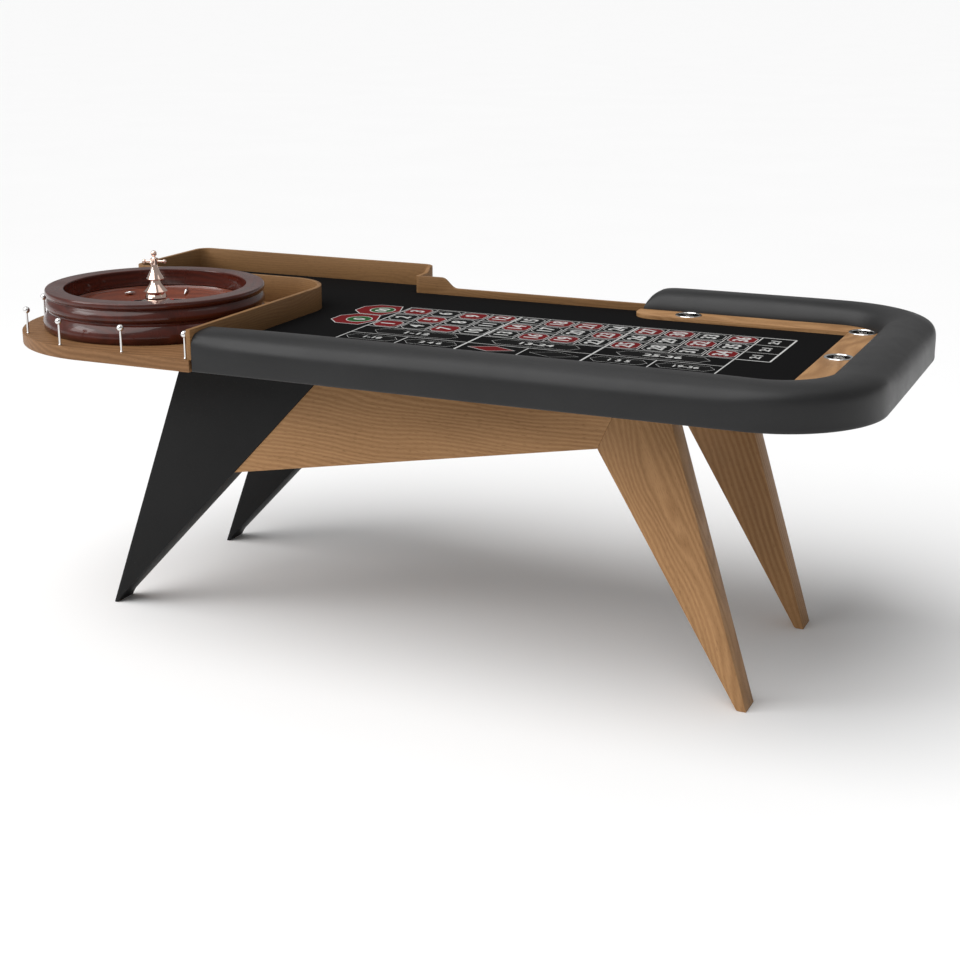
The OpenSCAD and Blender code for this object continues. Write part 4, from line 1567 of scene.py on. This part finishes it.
@dataclass
class Wheel:
    """The turned bowl, its ball track and the rotor with its numbers."""

    rim: float = 310.0
    mouth: float = 257.0
    height: float = 113.0
    rotor: float = 186.0
    pockets: int = 38
    pad: float = 0.0006

    def __post_init__(self) -> None:
        """Finds the wheel's axis at the height of the platform."""
        low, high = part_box("wheel_bowl")
        self.centre: Point3 = ((low.x + high.x) / 2, (low.y + high.y) / 2, low.z)

    def bowl(self) -> None:
        """The mahogany bowl and its floor."""
        r, h, m = self.rim, self.height, self.mouth
        outline = [(r - 62, 0), (r + 1, 0)]
        outline += cubic((r + 1, 0), (r + 12, 12), (r + 12, 30), (r - 4, 50), 18)
        outline += [(r - 6, 51.2), (r - 7.6, 52.4), (r - 8, 54), (r - 8, 56), (r - 7.2, 57.4)]
        outline += cubic((r - 7.2, 57.4), (r + 2, 62), (r + 3, 76), (r - 6, 88), 14)
        outline += cubic((r - 6, 88), (r - 10, 92), (r - 8, 95), (r - 2, 98), 5)
        outline += cubic((r - 2, 98), (r + 1, 101), (r + 1, h - 2), (r - 3, h), 9)
        outline += [(m + 4, h)] + cubic((m + 4, h), (m + 1, h), (m, h - 1), (m, h - 4), 4)
        outline += [(m - 0.6, 100), (m - 1.2, 86), (m - 2, 67), (m + 8, 65), (m + 8, 52), (r - 62, 52)]
        bowl = turned("wheel_bowl_turning", millimetres(outline), self.centre, 180)
        self.stave(bowl, 0.0)
        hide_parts("wheel_bowl")
        settle(bowl, [MAHOGANY])
        floor = eased("bowl_floor", "bowl_base", 0.0006)
        lay_grain(floor, GrainAxis((1, 0, 0), (0, 0, 1), 8.0))
        settle(floor, [MAHOGANY])

    def stave(self, thing: Thing, shift: float, staves: int = 12) -> None:
        """Lays the grain of glued staves round the wheel, each with its own figure."""
        cx, cy, _ = self.centre
        mesh = thing.data
        places = np.zeros(len(mesh.vertices) * 3)
        mesh.vertices.foreach_get("co", places)
        places = places.reshape(-1, 3)
        x, y = places[:, 0] - cx, places[:, 1] - cy
        angle = np.arctan2(y, x)
        radius = np.hypot(x, y)
        step = np.round(angle / FULL_TURN * staves)
        local = angle - step * FULL_TURN / staves
        jump = np.sin(step * 12.9898) * 3.0
        laid = np.stack([radius * np.sin(local) + jump + shift, places[:, 2] + jump * 0.21,
                         radius * np.cos(local)], axis=1)
        attribute = mesh.attributes.new(GRAIN, "FLOAT_VECTOR", "POINT")
        attribute.data.foreach_set("vector", laid.astype(np.float32).ravel())

    def track(self) -> None:
        """The ball track and the slope inside it."""
        m, ri = self.mouth, self.rotor + 1.5
        outline = [(ri, 28), (m - 8, 52.2), (m + 7.7, 52.2), (m + 7.7, 64.7), (m - 2.5, 64.7)]
        outline += cubic((m - 2.5, 64.7), (m - 5, 56.6), (m - 12, 56.6), (m - 16, 60), 10)
        outline += [(m - 17, 60.4), (m - 18.4, 60.2), (m - 19.6, 59.4), (ri + 4, 38), (ri + 1, 37), (ri, 36)]
        ring = turned("ball_track_turning", millimetres(outline), self.centre, 180)
        self.stave(ring, 4.0, 9)
        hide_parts("ball_track")
        settle(ring, [TRACK_WOOD])
        dress_node("ball_deflectors", CHROME)

    def rotor_body(self) -> None:
        """The rotor: mahogany below, a satin metal cone on top."""
        r = self.rotor
        outline = [(13, 34), (13, 20.5), (13.5, 20), (r - 20, 20), (r - 1, 28), (r - 1, 29.9), (r - 36, 25.9),
                   (r - 38, 24), (r - 60.2, 24), (r - 60.8, 34), (r - 62, 36)]
        outline += cubic((r - 62, 36), (90, 47), (60, 58), (36, 68), 16)
        outline += [(35.4, 69.6), (34.6, 70), (13, 70)]
        body = turned("rotor_turning", millimetres(outline), self.centre, 144)
        base = self.centre[2]
        for face in body.data.polygons:
            x, y = face.center.x - self.centre[0], face.center.y - self.centre[1]
            on_top = face.center.z > base + 0.0345 and math.hypot(x, y) > 0.014
            face.material_index = int(on_top)
        self.stave(body, 9.0, 6)
        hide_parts("rotor")
        settle(body, [MAHOGANY, NICKEL], Body.ROTOR)
        dress_node("pocket_frets", CHROME)
        for node in ("lower_bearing", "upper_bearing", "spindle"):
            dress_node(node, BEARING)
        dress_node("spindle_screws", ZINC)

    def sector_faces(self, thing: Thing) -> None:
        """Colours a ring's faces by the number that they lie under."""
        finishes = tuple(POCKET_FINISHES)
        cx, cy, _ = self.centre
        for face in thing.data.polygons:
            angle = math.atan2(face.center.y - cy, face.center.x - cx) % FULL_TURN
            index = round(angle / FULL_TURN * self.pockets) % self.pockets
            face.material_index = finishes.index(pocket_of(WHEEL_ORDER[index]))

    def number_band(self) -> None:
        """The band of coloured fields round the rotor, and its numbers."""
        r = self.rotor
        outline = [(r - 35.8, 26.3), (r - 1, 30.3), (r - 0.2, 31), (r, 34), (r - 0.6, 35.4), (r - 3, 36.5),
                   (r - 34.6, 31.3), (r - 35.8, 30.6)]
        half = Matrix.Rotation(math.pi / self.pockets, 4, "Z")
        band = turned("number_band", millimetres(outline), (0, 0, self.centre[2]), self.pockets * 4)
        band.data.transform(Matrix.Translation((self.centre[0], self.centre[1], 0)) @ half)
        self.sector_faces(band)
        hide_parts("number_ring")
        settle(band, list(POCKET_FINISHES.values()), Body.ROTOR)
        slope = math.atan2(5.2, 31.6)
        made = []
        for index, label in enumerate(WHEEL_ORDER):
            figure = numeral(label, 0.0125, 0.95, 0.030, 0.0003)
            out = Matrix.Translation((0, -0.1685, 0.0342))
            turn = Matrix.Rotation(index * FULL_TURN / self.pockets + math.pi / 2, 4, "Z")
            lean = Matrix.Rotation(-slope, 4, "X")
            figure.data.transform(Matrix.Translation(self.centre) @ turn @ out @ lean)
            made.append(figure)
        numbers = merged("wheel_numerals", made)
        settle(numbers, [BAND_CREAM], Body.ROTOR)

    def pocket_pads(self) -> None:
        """A coloured pad on the floor of each pocket."""
        half = math.pi / self.pockets
        low = self.centre[2] + 0.0252
        inner, outer, web = 0.1276, 0.1460, 0.0009
        shape = [(inner, -inner * math.tan(half) + web), (outer, -outer * math.tan(half) + web),
                 (outer, outer * math.tan(half) - web), (inner, inner * math.tan(half) - web)]
        master = prism("pocket_pad", shape, low, low + self.pad)
        made = []
        for index, label in enumerate(WHEEL_ORDER):
            turn = Matrix.Rotation(index * FULL_TURN / self.pockets, 4, "Z")
            pad = copied(master, Matrix.Translation((self.centre[0], self.centre[1], 0)) @ turn)
            pad.data.materials.append(POCKET_FINISHES[pocket_of(label)].material())
            made.append(pad)
        bpy.data.objects.remove(master)
        pads = merged("pocket_pads", made)
        order = list(dict.fromkeys(pocket_of(label) for label in WHEEL_ORDER))
        settle(pads, [POCKET_FINISHES[kind] for kind in order], Body.ROTOR)

    def turret(self) -> None:
        """The plated turret with its four-armed handle."""
        for node in ("turret_body", "turret_handle", "turret_finial"):
            dress_node(node, ROSE_METAL)

    def build(self) -> None:
        """Makes and dresses the wheel."""
        self.bowl()
        self.track()
        self.rotor_body()
        self.number_band()
        self.pocket_pads()
        self.turret()


# ---- fittings ----


@dataclass
class Fittings:
    """The guard pins and the cups."""

    pins: int = 7

    def build(self) -> None:
        """Dresses the pins and the cups."""
        for index in range(1, self.pins + 1):
            dress_node(f"guard_pin_{index}", CHROME)
        for place in ("back", "corner", "end"):
            dress_node(f"cup_holder_{place}", CHROME)


# ---- studio ----


@dataclass
class Studio:
    """Plain pale floor, soft light and the camera."""

    eye: Point3 = (1.89449, -4.11478, 1.77820)
    yaw: float = 24.0
    dip: float = 16.866
    lens: float = 61.796
    sensor: float = 36.0
    shift: Point2 = (-0.00295, 0.00025)
    lamp_strength: float = 2.9
    lamp_heading: Point3 = (0.35, 0.45, -0.82)
    white: float = 0.30

    def floor(self) -> None:
        """The floor, which isn't part of the table."""
        select_only()
        bpy.ops.mesh.primitive_circle_add(vertices=96, radius=600, fill_type="NGON")
        floor = bpy.context.object
        floor.name = "studio_floor"
        floor.data.transform(Matrix.Translation((0, 0, -0.0002)))
        floor.data.materials.append(FloorFinish().material())

    def softbox(self, name: str, place: Point3, aim: Point3, size: Point2, power: float) -> None:
        """Adds an area light.

        Args:
            name: Name of the light.
            place: Where it hangs.
            aim: What it points at.
            size: Its width and height.
            power: Its power in watts.
        """
        light = bpy.data.lights.new(name, "AREA")
        light.shape = "RECTANGLE"
        light.size, light.size_y = size
        light.energy = power
        lamp = bpy.data.objects.new(name, light)
        bpy.context.scene.collection.objects.link(lamp)
        lamp.location = place
        lamp.rotation_euler = (Vector(aim) - Vector(place)).to_track_quat("-Z", "Y").to_euler()

    def wide_lamp(self) -> None:
        """A very wide, even lamp from above the front left."""
        light = bpy.data.lights.new("wide_lamp", "SUN")
        light.angle = math.radians(70.0)
        light.energy = self.lamp_strength
        lamp = bpy.data.objects.new("wide_lamp", light)
        bpy.context.scene.collection.objects.link(lamp)
        lamp.rotation_euler = Vector(self.lamp_heading).to_track_quat("-Z", "Y").to_euler()

    def build(self) -> None:
        """Sets up floor, lights, world and camera."""
        self.floor()
        self.wide_lamp()
        self.softbox("overhead_softbox", (0.3, 0.6, 3.4), (0.0, 0.0, 0.8), (3.4, 1.6), 12.0)
        self.softbox("left_softbox", (-3.6, -2.6, 2.4), (-0.6, -0.2, 0.8), (1.6, 1.6), 30.0)
        scene = bpy.context.scene
        world = bpy.data.worlds.new("studio_world")
        scene.world = world
        world.use_nodes = True
        background = world.node_tree.nodes["Background"]
        background.inputs["Color"].default_value = (1, 1, 1, 1)
        background.inputs["Strength"].default_value = self.white
        scene.view_settings.view_transform = "Standard"
        data = bpy.data.cameras.new("camera")
        data.lens, data.sensor_width = self.lens, self.sensor
        data.shift_x, data.shift_y = self.shift
        data.clip_start, data.clip_end = 0.05, 2000
        camera = bpy.data.objects.new("camera", data)
        scene.collection.objects.link(camera)
        camera.location = self.eye
        camera.rotation_euler = (math.radians(90 - self.dip), 0.0, math.radians(self.yaw))
        scene.camera = camera


def main() -> None:
    """Builds every sub-assembly in order."""
    logging.basicConfig(level=logging.INFO, format="%(name)s: %(message)s")
    Studio().build()
    SideFrames().build()
    TableTop().build()
    Armrest().build()
    LayoutCloth().build()
    Wheel().build()
    Fittings().build()


if __name__ == "__main__":
    main()
